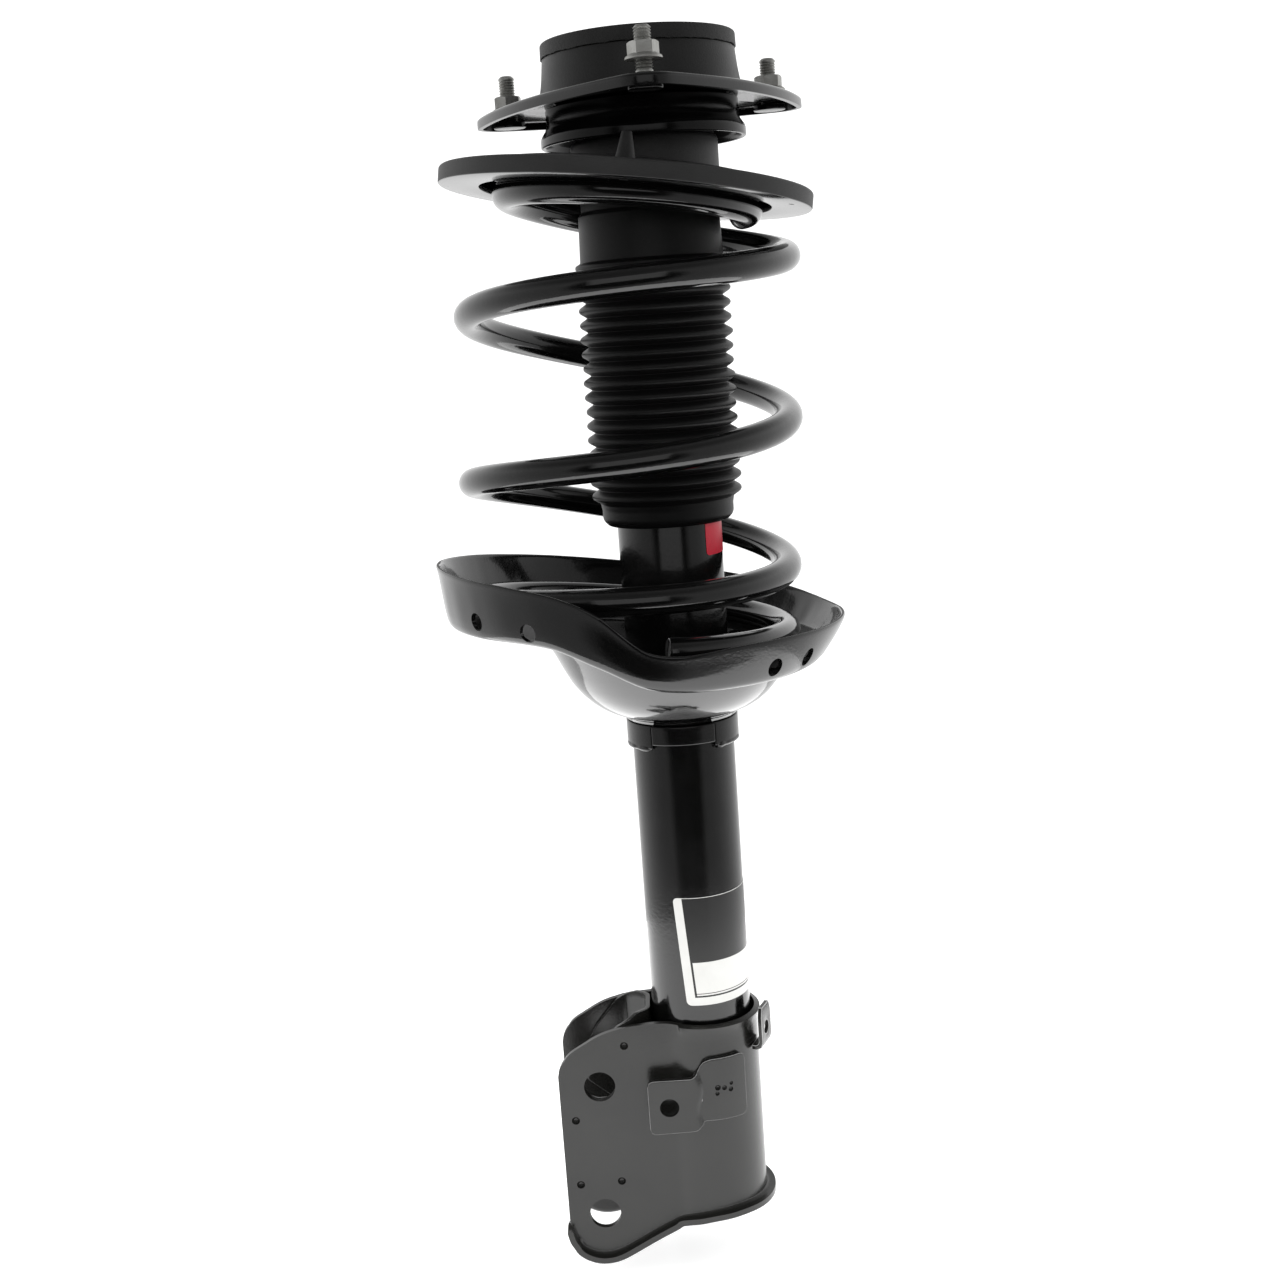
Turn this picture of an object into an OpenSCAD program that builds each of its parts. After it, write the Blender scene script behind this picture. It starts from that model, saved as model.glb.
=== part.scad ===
// Suspension strut assembly: top mount, coil spring over damper, knuckle bracket.
// Frame: millimetres, +Z up along the damper axis. The origin is the centre of the
// mount plate's top face, which seats against the vehicle. The bracket's ears point to -X.

/* [Top mount] */
// Pitch circle diameter of the three studs
stud_pcd = 148; // [140:1:156]
// Direction of the first stud, degrees from +X
stud_angle = 31.8; // [0:0.5:90]
// Stud thread diameter
stud_d = 8; // [8:1:10]
// Height of the stud tips above the plate
stud_tip_h = 19; // [18:1:26]
// Thickness of the pressed plate
plate_t = 3; // [2:0.5:4]
// Depth of the plate's turned-down rim
plate_rim = 5.2; // [4:0.2:9]
// Radius of each lobe's tip
lobe_r = 16; // [14:1:20]
// Distance from the axis to the middle of a side
plate_mid = 62; // [58:1:66]
// Radius of the housing at its top
housing_r = 45.2; // [43:0.2:47]
// Height of the top mount above the plate
mount_h = 26.6; // [24:0.2:30]

/* [Bearing] */
// Lip radius of the bearing cup
cup_r = 48.5; // [46:0.5:52]
// Depth of the bearing cup's lip below the plate's top face
cup_depth = 20.4; // [19:0.2:21]
// Pitch radius of the ball row
ball_row_r = 28; // [27:0.5:29]
// Ball radius
ball_r = 3; // [2.5:0.1:3]
// Number of balls
ball_count = 20; // [12:1:24]

/* [Upper spring seat] */
// Radius of the disc
seat_r = 88.8; // [84:0.2:92]
// Rim height of the disc
seat_rim = 8; // [6:0.5:9]
// Slope of the disc: how far it falls per millimetre towards +X
seat_fall_x = 0.138; // [0.1:0.002:0.16]
// Slope of the disc towards +Y
seat_fall_y = 0.04; // [0:0.005:0.06]
// Radius of the dome above the disc
dome_r = 34.9; // [34:0.1:36]

/* [Spring] */
// Wire diameter
wire_d = 13.5; // [12.5:0.5:14]
// Mean radius of the full coils
coil_r = 76.8; // [75:0.2:78]
// Mean radius of the closed end coil at the top
pigtail_r = 57; // [56:0.5:58]

/* [Damper] */
// Outer tube diameter
tube_d = 51; // [50:0.5:52]
// Outer tube wall
tube_wall = 2.2; // [1.8:0.1:3]
// Piston rod diameter
rod_d = 22; // [20:1:22]
// Height of the tube's top end
tube_top = -186; // [-190:1:-184]
// Height of the tube's bottom end
tube_bottom = -552; // [-556:1:-548]
// Bore radius of the inner cylinder
bore_r = 16; // [15:0.5:17]

/* [Dust boot] */
// Radius of the bellows at a fold's crest
fold_r = 38.3; // [38:0.1:39.5]
// Radius of the bellows between two folds
valley_r = 32.8; // [32.5:0.1:33.5]
// Number of folds
fold_count = 16; // [14:1:17]

/* [Lower spring seat] */
// Radius of the seat's rim
dish_r = 100; // [99:0.5:102]
// How far the seat's centre stands off the damper axis towards -X
dish_offset = 16; // [15:0.5:17]
// Thickness of the pressing
dish_t = 2.6; // [2:0.1:3]

/* [Knuckle bracket] */
// Sheet thickness
ear_t = 3; // [2.5:0.5:3]
// Outside distance across the two ears
ear_width = 46; // [46:1:48]
// How far the ears reach from the damper axis
ear_reach = 75.6; // [72:0.2:80]
// Bolt hole diameter
bolt_d = 16; // [14:0.5:17]
// Upper bolt hole: distance from the damper axis, and height
upper_bolt = [-54.7, -485.5];
// Lower bolt hole: distance from the damper axis, and height
lower_bolt = [-56.8, -556];
// Hole in the hose bracket
hose_hole_d = 9.8; // [8:0.2:10]

/* [Hidden] */

$fn = 96;
fit = 0.05;             // radial clearance of a running fit
gap = 0.3;              // clearance between neighbours
tube_r = tube_d / 2;
rod_r = rod_d / 2;
thread_r = 7;           // threaded upper end of the rod
shell_in = 17;          // inside of the shell bonded in the mount rubber
sleeve_r = shell_in - fit;
wire_r = wire_d / 2;

// ---- shared shapes ----

// Ring between two radii and two heights
module ring(r_in, r_out, z_low, z_high) {
    translate([0, 0, z_low]) difference() {
        cylinder(r = r_out, h = z_high - z_low);
        translate([0, 0, -1]) cylinder(r = r_in, h = z_high - z_low + 2);
    }
}

// Plain round bar between two heights
module bar(r, z_low, z_high) {
    translate([0, 0, z_low]) cylinder(r = r, h = z_high - z_low);
}

// Part of a ring, from one direction to another
module arc_ring(r_in, r_out, z_low, z_high, from, to) {
    translate([0, 0, z_low])
        rotate([0, 0, from])
            rotate_extrude(angle = to - from)
                translate([r_in, 0]) square([r_out - r_in, z_high - z_low]);
}

// Hexagon across its flats
module hexagon(across_flats, z_low, z_high) {
    translate([0, 0, z_low])
        cylinder(r = across_flats / 2 / cos(30), h = z_high - z_low, $fn = 6);
}

// Places its children at each of the three studs
module at_studs() {
    for (i = [0:2])
        rotate([0, 0, stud_angle + 120 * i]) translate([stud_pcd / 2, 0, 0]) children();
}

// ---- smooth curve through a short list of stations ----
// Each row starts with its place along the curve; the other columns are values there.

function row_at(rows, t, i = 0) =
    i >= len(rows) - 2 || t < rows[i + 1][0] ? i : row_at(rows, t, i + 1);

function tangent(rows, i, c) = let (a = max(i - 1, 0), b = min(i + 1, len(rows) - 1))
    (rows[b][c] - rows[a][c]) / (rows[b][0] - rows[a][0]);

function along(rows, t, c) = let (
        i = row_at(rows, t), w = rows[i + 1][0] - rows[i][0], u = (t - rows[i][0]) / w)
    (1 + 2 * u) * pow(1 - u, 2) * rows[i][c] + u * pow(1 - u, 2) * w * tangent(rows, i, c)
    + u * u * (3 - 2 * u) * rows[i + 1][c] - u * u * (1 - u) * w * tangent(rows, i + 1, c);

// ---- three-lobed plate outline ----
// Arcs of three lobes, joined by three flatter arcs that are tangent to them.

plate_arc_steps = 8;
function polar(r, a) = [r * cos(a), r * sin(a)];

function lobed_outline(inset) = let (
        reach = stud_pcd / 2, tip = lobe_r - inset, mid = plate_mid - inset, m = mid - tip,
        back = (reach * reach - m * m) / (2 * (m - reach / 2)), side_r = mid + back,
        lean = atan2(reach * sin(60), reach / 2 + back))
    [for (k = [0:2]) let (a = stud_angle + 120 * k) each concat(
        [for (s = [0:plate_arc_steps])
            polar(reach, a) + polar(tip, a + (60 - lean) * (2 * s / plate_arc_steps - 1))],
        [for (s = [1:plate_arc_steps - 1])
            polar(-back, a + 60) + polar(side_r, a + 60 + lean * (2 * s / plate_arc_steps - 1))])];

// ---- top mount ----

module mount_plate() {
    color([0.05, 0.05, 0.055]) difference() {
        translate([0, 0, -plate_rim]) linear_extrude(plate_rim) polygon(lobed_outline(0));
        translate([0, 0, -plate_rim - 1])
            linear_extrude(plate_rim - plate_t + 1) polygon(lobed_outline(plate_t));
        translate([0, 0, -plate_t - 1]) cylinder(r = housing_r - 5, h = plate_t + 2);
        at_studs() translate([0, 0, -plate_t - 1]) cylinder(r = knurl_r + 0.05, h = plate_t + 2);
    }
}

band_h = 7;             // height of the rubber band on the housing
housing_wall = 3;

module mount_housing() {
    color([0.06, 0.06, 0.06]) rotate_extrude()
        polygon([[housing_r - housing_wall, 0], [housing_r + 4.3, 0], [housing_r + 3.1, 1.2],
            [housing_r + 2.1, 4], [housing_r + 1.1, 9], [housing_r, mount_h - band_h],
            [housing_r - housing_wall, mount_h - band_h]]);
}

module mount_rubber_band() {
    color([0.08, 0.08, 0.08])
        ring(housing_r - housing_wall - 1, housing_r + 0.5, mount_h - band_h, mount_h);
}

well_r = 24;            // well around the rod nut
rubber_low = -plate_t;
rubber_top = 15;

module mount_rubber() {
    color([0.1, 0.1, 0.1]) difference() {
        union() {
            bar(housing_r - housing_wall, 0, rubber_top);
            bar(housing_r - 5, rubber_low, 1);
        }
        translate([0, 0, rubber_low - 1]) cylinder(r = shell_in + 2, h = 40);
        translate([0, 0, rubber_top - 6]) cylinder(r = well_r, h = 20);
    }
}

module mount_inner_shell() {
    color("silver") ring(shell_in, shell_in + 2, rubber_low, rubber_top - 7);
}

stud_head_r = 7.8;
knurl_r = stud_d / 2 + 0.25;  // the part of the stud held in the plate
shank_h = 1.6;          // plain part of the stud that centres the mount in the vehicle's holes
stud_thread_r = stud_d / 2 - 0.35;

module mount_studs() {
    color([0.75, 0.75, 0.72]) at_studs() {
        bar(knurl_r, -plate_t, 0);
        bar(stud_d / 2, -1, shank_h);
        bar(stud_thread_r, shank_h - 1, stud_tip_h);
        bar(stud_head_r, -plate_t - 2.6, -plate_t);
    }
}

nut_flats = 12;
nut_flange_r = 8.2;
// Height of each nut above the plate, as shipped: none is run down yet
nut_lift = [3.3, 1.8, 6.8];

module stud_nuts() {
    color([0.78, 0.78, 0.76]) for (i = [0:2])
        rotate([0, 0, stud_angle + 120 * i]) translate([stud_pcd / 2, 0, nut_lift[i]])
            difference() {
                union() {
                    bar(nut_flange_r, 0, 1.8);
                    hexagon(nut_flats, 1.7, 7.6);
                }
                translate([0, 0, -1]) cylinder(r = stud_thread_r + 0.02, h = 12);
            }
}

cup_top = -plate_t;
cup_wall = 2.5;

module bearing_cup() {
    color([0.05, 0.05, 0.05]) rotate_extrude() difference() {
        polygon([[shell_in + 5, cup_top], [cup_r - 3, cup_top], [cup_r - 3, cup_top - 9],
            [cup_r, -cup_depth + 4], [cup_r, -cup_depth], [cup_r - cup_wall, -cup_depth],
            [cup_r - cup_wall - 3, cup_top - 9], [cup_r - cup_wall - 3, cup_top - cup_wall],
            [shell_in + 5, cup_top - cup_wall]]);
    }
}

race_in = ball_row_r - 5;
race_out = ball_row_r + 5;
race_top = cup_top - cup_wall;
ball_z = race_top - 6.6;
race_wrap = 1.9;        // how far each race face stands off the ball row's plane
groove_r = ball_r + 0.12;

module race(z_low, z_high) {
    rotate_extrude() difference() {
        translate([race_in, z_low]) square([race_out - race_in, z_high - z_low]);
        translate([ball_row_r, ball_z]) circle(r = groove_r);
    }
}

module bearing_upper_race() {
    color("silver") race(ball_z + race_wrap, race_top);
}

module bearing_balls() {
    color("silver") for (i = [0:ball_count - 1])
        rotate([0, 0, 360 / ball_count * i]) translate([ball_row_r, 0, ball_z])
            sphere(r = ball_r, $fn = 24);
}

dome_top = ball_z - 6.6;

module bearing_lower_race() {
    color("silver") race(dome_top, ball_z - race_wrap);
}

// ---- rod, nut and upper spring seat ----

washer_low = rubber_top - 6 + gap;
washer_t = 2.5;
rod_top = mount_h - 3;

module rod_sleeve() {
    color("silver") ring(thread_r, sleeve_r, dome_top, washer_low);
}

module rod_washer() {
    color([0.7, 0.7, 0.68]) ring(thread_r, 20, washer_low, washer_low + washer_t);
}

module rod_nut() {
    color([0.7, 0.7, 0.68]) difference() {
        union() {
            hexagon(22, washer_low + washer_t, washer_low + washer_t + 9);
            bar(14.5, washer_low + washer_t, washer_low + washer_t + 2.5);
        }
        translate([0, 0, washer_low]) cylinder(r = thread_r, h = 20);
    }
}

seat_x = -9.4;          // centre of the tilted disc
seat_z = -37.3;
seat_skin = 2.2;        // sheet thickness of the disc
step_h = 3.5;           // how far the middle of the disc is raised
step_r = 68;            // radius of the raised middle
hem_r = 69.5;           // how far in the rim is folded under the disc
dome_wall = 2.4;

// Places its children in the disc's own tilted frame, with the top face at zero
module on_disc() {
    translate([seat_x, 0, seat_z]) rotate([-atan(seat_fall_y), atan(seat_fall_x), 0]) children();
}

plug_at = [0.4, -76];   // place of the tapered plug on the disc

module upper_spring_seat() {
    color([0.07, 0.07, 0.07]) difference() {
        union() {
            on_disc() rotate_extrude() polygon([[dome_r - 4, step_h], [step_r, step_h], [step_r, 0],
                [seat_r, 0], [seat_r, -seat_rim], [hem_r, -seat_rim],
                [hem_r, seat_skin - seat_rim], [seat_r - 2.4, seat_skin - seat_rim],
                [seat_r - 2.4, -seat_skin], [step_r - 2, -seat_skin],
                [step_r - 2, step_h - seat_skin], [dome_r - 4, step_h - seat_skin]]);
            bar(dome_r, seat_z - 2, dome_top);
        }
        bar(dome_r - dome_wall, seat_z - 20, dome_top - dome_wall);
        bar(thread_r + 0.1, dome_top - 10, dome_top + 5);
        on_disc() translate([plug_at[0], plug_at[1], -20]) cylinder(r = 2, h = 40);
    }
}

module upper_seat_plug() {
    color([0.1, 0.1, 0.1]) on_disc() translate([plug_at[0], plug_at[1], 0]) {
        rotate_extrude() polygon([[0, 0], [4.5, 0], [2.3, 12.5], [0, 12.5]]);
        bar(1.95, -seat_skin - 1, 0.1);
    }
}

isolator_t = 3.2;

module upper_isolator() {
    top = step_h - seat_skin;
    color([0.09, 0.09, 0.09]) on_disc() ring(dome_r + 14, step_r - 2.1, top - isolator_t, top);
}

// ---- coil spring ----
// Stations from the top end down: turns, mean radius, height, fall to +X, fall to +Y
spring_rows = [
    [-1.06, pigtail_r, -47.7, 0.136, 0.04],
    [-0.8, pigtail_r, -47.7, 0.136, 0.04],
    [-0.52, pigtail_r + 0.5, -47.9, 0.136, 0.04],
    [-0.36, 61.5, -50, 0.136, 0.04],
    [-0.12, 72, -60, 0.134, 0.02],
    [0.15, coil_r, -78, 0.115, 0],
    [0.6, coil_r, -114, 0.102, 0],
    [1, coil_r, -145, 0.1, 0],
    [1.5, coil_r, -184.5, 0.105, 0.01],
    [2, coil_r, -215.7, 0.12, 0.05],
    [2.2, coil_r, -229, 0.12, 0.06],
    [2.45, coil_r, -240.6, 0.12, 0.06],
    [2.7, coil_r, -244.8, 0.12, 0.06],
    [3, coil_r, -248.6, 0.12, 0.06],
    [3.2, coil_r, -253.5, 0.12, 0.06]];
spring_lean = 0.06;     // the coils' centre line leans to -X towards the bottom
spring_x = -12.4;
spring_lean_z = -95;
spring_zero = -4.8;     // direction of the station at zero turns
spring_top = spring_rows[0][0];
spring_end = spring_rows[len(spring_rows) - 1][0];
wire_sides = 12;
rings_per_turn = 24;
spring_rings = round((spring_end - spring_top) * rings_per_turn);

function wire_point(t) = let (
        a = spring_zero - 360 * t, r = along(spring_rows, t, 1), z = along(spring_rows, t, 2),
        dx = r * cos(a), dy = r * sin(a))
    [spring_x + spring_lean * (z - spring_lean_z) + dx, dy,
        z - along(spring_rows, t, 3) * dx - along(spring_rows, t, 4) * dy];

function unit(v) = v / norm(v);

function wire_ring(t) = let (
        ahead = unit(wire_point(min(t + 0.004, spring_end)) - wire_point(max(t - 0.004, spring_top))),
        out = unit(cross(ahead, [0, 0, 1])), up = cross(out, ahead))
    [for (s = [0:wire_sides - 1]) wire_point(t)
        + wire_r * (cos(360 * s / wire_sides) * out + sin(360 * s / wire_sides) * up)];

module coil_spring() {
    points = [for (i = [0:spring_rings])
        each wire_ring(spring_top + (spring_end - spring_top) * i / spring_rings)];
    side = [for (i = [0:spring_rings - 1], s = [0:wire_sides - 1])
        let (a = i * wire_sides, b = a + wire_sides, n = (s + 1) % wire_sides)
        [a + s, a + n, b + n, b + s]];
    first = [[for (s = [wire_sides - 1:-1:0]) s]];
    last = [[for (s = [0:wire_sides - 1]) spring_rings * wire_sides + s]];
    color([0.03, 0.03, 0.03]) polyhedron(points, concat(side, first, last), convexity = 10);
}

// ---- soft parts on the rod ----

boot_wall = 1.6;
boot_neck_r = dome_r - dome_wall - 0.4;
folds_top = -79.1;
folds_low = -189;
boot_low = -200;
collar_r = 32.2;
fold_pitch = (folds_top - folds_low) / fold_count;

module dust_boot() {
    outer = concat(
        [[boot_neck_r, -28], [boot_neck_r, -51], [33.6, -52], [34.3, -74], [37, -75], [37, -77.5],
            [valley_r, folds_top]],
        [for (i = [0:fold_count - 1]) each [
            [fold_r, folds_top - fold_pitch * (i + 0.5)], [valley_r, folds_top - fold_pitch * (i + 1)]]],
        [[collar_r, folds_low - 1], [collar_r, boot_low + 2], [collar_r - 2, boot_low]]);
    inner = [for (i = [len(outer) - 1:-1:0]) outer[i] - [boot_wall, 0]];
    color([0.07, 0.07, 0.07]) rotate_extrude() polygon(concat(outer, inner));
}

stop_low = -99;

module bump_stop() {
    stop_top = dome_top - dome_wall;
    color([0.75, 0.7, 0.5]) rotate_extrude() difference() {
        polygon([[rod_r + gap, stop_top], [21, stop_top], [22, -50], [19, -58], [22, -66],
            [18, -76], [20, -84], [15, stop_low], [rod_r + gap, stop_low]]);
    }
}

// ---- damper ----

rod_low = -250;
shoulder = dome_top - dome_wall - gap;
seal_top = tube_top + 1;

module piston_rod() {
    color([0.8, 0.8, 0.8]) {
        bar(rod_r, rod_low, shoulder);
        bar(thread_r - 0.01, shoulder - 1, rod_top);
        bar(thread_r - 0.01, rod_low - 38, rod_low + 1);
    }
}

guide_low = tube_top - 22;
stop_ring_low = guide_low - 16;

module rebound_stop() {
    color([0.3, 0.3, 0.3]) ring(rod_r + 0.01, bore_r - 0.8, stop_ring_low, guide_low - 1);
}

piston_top = rod_low - 0.05;
piston_h = 24;

module piston() {
    color([0.55, 0.55, 0.55]) difference() {
        ring(thread_r, bore_r - 0.6, piston_top - piston_h, piston_top);
        ring(bore_r - 1.6, bore_r + 1, piston_top - piston_h + 6, piston_top - 6);
        for (i = [0:5]) rotate([0, 0, 60 * i]) translate([10.6, 0, piston_top - piston_h - 1])
            cylinder(r = 1.5, h = piston_h + 2);
    }
}

module piston_band() {
    color([0.25, 0.2, 0.12])
        ring(bore_r - 1.6, bore_r - fit, piston_top - piston_h + 6, piston_top - 6);
}

module piston_nut() {
    color("silver") difference() {
        hexagon(21, piston_top - piston_h - 11, piston_top - piston_h);
        translate([0, 0, piston_top - 60]) cylinder(r = thread_r, h = 60);
    }
}

module outer_tube() {
    color([0.04, 0.04, 0.04]) ring(tube_r - tube_wall, tube_r, tube_bottom, tube_top);
}

module tube_cap() {
    color([0.05, 0.05, 0.05]) {
        ring(rod_r + 3, tube_r, tube_top, tube_top + 1.5);
    }
}

module rod_seal() {
    color([0.12, 0.12, 0.12]) ring(rod_r + fit, tube_r - tube_wall, tube_top - 6, tube_top);
}

module rod_guide() {
    color([0.5, 0.5, 0.5]) {
        ring(rod_r + fit, tube_r - tube_wall, guide_low + 4, tube_top - 6);
        ring(rod_r + fit, bore_r, guide_low, guide_low + 4);
    }
}

module inner_cylinder() {
    color([0.6, 0.6, 0.6]) ring(bore_r, bore_r + 1.5, tube_bottom + 8, guide_low + 4);
}

module base_valve() {
    color([0.55, 0.5, 0.4]) difference() {
        union() {
            bar(bore_r, tube_bottom + 8, tube_bottom + 16);
            bar(bore_r + 5, tube_bottom, tube_bottom + 8);
        }
        for (i = [0:3]) rotate([0, 0, 90 * i]) translate([9, 0, tube_bottom - 1])
            cylinder(r = 1.5, h = 40);
    }
}

module bottom_cap() {
    color([0.04, 0.04, 0.04]) bar(tube_r, tube_bottom - 4, tube_bottom);
}

// ---- lower spring seat ----
// The dish by direction: rim height, foot of the wall, floor under the wire, radius of the foot
dish_rows = [
    [-20, -249, -269.6, -264.5, 88], [20, -250, -269.2, -265.1, 88], [45, -245, -268.6, -264.4, 88.5],
    [90, -234, -264, -259.2, 90], [125, -223.5, -254, -251.5, 91], [155, -216, -247, -246.5, 92.5],
    [185, -212.5, -243.8, -242, 94], [215, -213.5, -243, -241.5, 94.5], [243, -218, -244.4, -243.6, 95],
    [258, -227, -253.6, -251.2, 95.5], [273, -247, -265.2, -261.4, 95], [300, -247.5, -269, -264, 92],
    [340, -249, -269.6, -264.5, 88]];
dish_step = 5;
hub_r = tube_r + 0.1;
hub_low = -297.6;

// Section of the dish in one direction: radius from the dish's centre line, and height.
// The last column says how far that ring's centre stands off the damper axis.
function dish_section(a) = let (
        t = a > 340 ? a - 360 : a, o = dish_offset, d = dish_t,
        rim = along(dish_rows, t, 1), foot = along(dish_rows, t, 2), flat = along(dish_rows, t, 3),
        wall = along(dish_rows, t, 4), bowl = (flat - 803) / 4)
    [[dish_r, rim, o], [wall + 3, foot + 3, o], [wall, foot, o], [wall - 4, foot + 0.2, o],
        [80, flat - d - 0.6, o], [61, flat - d - 0.6, o * 0.8], [57.3, bowl - 1, 3], [53, -276.5, 1],
        [44.8, -286.6, 0], [36.8, -292.4, 0], [28.2, -295.2, 0], [28.2, hub_low, 0], [hub_r, hub_low, 0],
        [hub_r, -292.9, 0], [35.8, -290, 0], [43.2, -284.8, 0], [51, -275.2, 1], [55, bowl + 0.6, 3],
        [59, flat, o * 0.8], [wall - 6, flat, o], [wall + 0.5, flat + 2.5, o],
        [dish_r - d, rim, o]];

module lower_spring_seat() {
    n = 360 / dish_step;
    w = len(dish_section(0));
    points = [for (i = [0:n - 1]) each [for (p = dish_section(i * dish_step))
        [p[0] * cos(i * dish_step) - p[2], p[0] * sin(i * dish_step), p[1]]]];
    faces = [for (i = [0:n - 1], s = [0:w - 1])
        let (a = i * w, b = ((i + 1) % n) * w, e = (s + 1) % w) [a + s, a + e, b + e, b + s]];
    color([0.04, 0.04, 0.04]) difference() {
        polyhedron(points, faces, convexity = 10);
        for (h = [[-172, -235.5], [-141, -233.5], [-121.3, -236.5], [-51, -261.5], [-36, -261.5]])
            translate([-dish_offset, 0, h[1]]) rotate([0, 0, h[0]]) rotate([0, 90, 0])
                translate([0, 0, 85]) cylinder(r = 3.8, h = 20, $fn = 24);
    }
}

support_r = 28;

support_low = -309.6;

module seat_support_ring() {
    color([0.05, 0.05, 0.05]) difference() {
        union() {
            ring(hub_r, support_r, support_low, hub_low - 0.2);
            ring(hub_r, support_r + 0.8, support_low - 1.4, support_low + 0.8);
        }
        // Slits in the upper edge
        for (i = [0:5]) rotate([0, 0, 60 * i]) translate([20, -1.5, support_low + 3])
            cube([20, 3, 20]);
    }
}

// ---- knuckle bracket ----

wrap_in = tube_r + 0.1;
wrap_out = wrap_in + ear_t;
ear_y = ear_width / 2;
neck_x = -17;
lip_w = 5;

// Plan of the bent sheet: a wrap round the tube and two flat ears
module bracket_plan(grow) {
    difference() {
        union() {
            circle(r = wrap_out + grow);
            translate([-200, -ear_y - grow]) square([200 + neck_x, ear_width + 2 * grow]);
        }
        circle(r = wrap_in);
        translate([-201, -ear_y + ear_t]) square([201 + neck_x, ear_width - 2 * ear_t]);
    }
}

// Side view of an ear, with the sheet's lower edge lifted by some amount
function ear_outline(lift, reach) = concat(
    [[36, -455], [-25, -453], [-40, -454], [-53, -457.5], [-reach + 4.7, -467.8],
        [-reach, -478], [-reach, -565 + lift]],
    [for (p = [[-74, -572.5], [-70, -578], [-62, -581.8], [-55, -582], [-49, -580.4], [-40, -575.6],
        [-32, -571.2], [-23, -566.6], [-12, -561.8], [0, -558.5], [14, -557.4], [36, -559]])
        p + [0, lift]]);

module side_cut(lift, reach) {
    rotate([90, 0, 0]) linear_extrude(200, center = true) polygon(ear_outline(lift, reach));
}

module knuckle_bracket() {
    color([0.06, 0.06, 0.06]) difference() {
        union() {
            intersection() {
                translate([0, 0, -600]) linear_extrude(160) bracket_plan(0);
                side_cut(0, ear_reach);
            }
            // Lip turned outwards along the lower edge
            intersection() {
                translate([0, 0, -600]) linear_extrude(160) bracket_plan(lip_w);
                difference() {
                    side_cut(0, ear_reach);
                    side_cut(3, ear_reach + 1);
                }
            }
            // Tab on the far ear's outer edge
            translate([-80.5, ear_y - ear_t, -576]) cube([8, ear_t, 40]);
        }
        for (p = [upper_bolt, lower_bolt]) translate([p[0], 0, p[1]]) rotate([90, 0, 0])
            cylinder(d = bolt_d, h = 100, center = true);
    }
}

// Folded sheet behind the tube, with a wing along each ear
module bracket_web() {
    inside = ear_y - ear_t - 0.05;
    sheet = 2.2;
    color([0.06, 0.06, 0.06]) difference() {
        intersection() {
            translate([0, 0, -568]) linear_extrude(120)
                polygon([[-64, -inside], [-38.5, -inside], [-26.2, -9.5], [-26.2, 9.5],
                    [-38.5, inside], [-64, inside], [-64, inside - sheet], [-39.5, inside - sheet],
                    [-29, 9], [-29, -9], [-39.5, sheet - inside], [-64, sheet - inside]]);
            rotate([90, 0, 0]) linear_extrude(100, center = true)
                polygon([[-20, -450], [-34, -450], [-45, -455.5], [-57, -470], [-63.5, -482],
                    [-63.5, -500], [-47, -514], [-47, -568], [-20, -568]]);
        }
        translate([upper_bolt[0], 0, upper_bolt[1]]) rotate([90, 0, 0])
            cylinder(d = bolt_d, h = 100, center = true);
    }
}

module hose_bracket() {
    tab_y = -wrap_out - 2.6;
    color([0.07, 0.07, 0.07]) difference() {
        union() {
            arc_ring(wrap_out + 0.05, wrap_out + 2.6, -504, -470, -96, -50);
            translate([-30, tab_y, -509]) cube([27, 2.5, 29]);
        }
        translate([-19.5, 0, -494.7]) rotate([90, 0, 0])
            cylinder(d = hose_hole_d, h = 100, center = true);
    }
}

module sensor_bracket() {
    color([0.07, 0.07, 0.07]) rotate([0, 0, -22]) difference() {
        union() {
            translate([33, -7, -473]) cube([2.4, 14, 23]);
            translate([wrap_out + 0.05, -7, -473]) cube([5, 14, 3]);
        }
        translate([0, 0, -462.5]) rotate([0, 90, 0]) cylinder(d = 7, h = 60);
    }
}

film_t = 0.25;

module tube_label() {
    color("white") arc_ring(tube_r + 0.02, tube_r + film_t, -443.5, -386.5, -112, 30);
}

module tube_sticker() {
    color([0.7, 0.05, 0.12]) arc_ring(tube_r + 0.02, tube_r + film_t, -216, -190, -47, 10);
}

mount_plate();
mount_housing();
mount_rubber_band();
mount_rubber();
mount_inner_shell();
mount_studs();
stud_nuts();
bearing_cup();
bearing_upper_race();
bearing_balls();
bearing_lower_race();
rod_sleeve();
rod_washer();
rod_nut();
upper_spring_seat();
upper_seat_plug();
upper_isolator();
coil_spring();
dust_boot();
bump_stop();
piston_rod();
rebound_stop();
piston();
piston_band();
piston_nut();
outer_tube();
tube_cap();
rod_seal();
rod_guide();
inner_cylinder();
base_valve();
bottom_cap();
lower_spring_seat();
seat_support_ring();
knuckle_bracket();
bracket_web();
hose_bracket();
sensor_bracket();
tube_label();
tube_sticker();
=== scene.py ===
import math
import bmesh
import bpy
from mathutils import Euler, Matrix, Vector, noise


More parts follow.
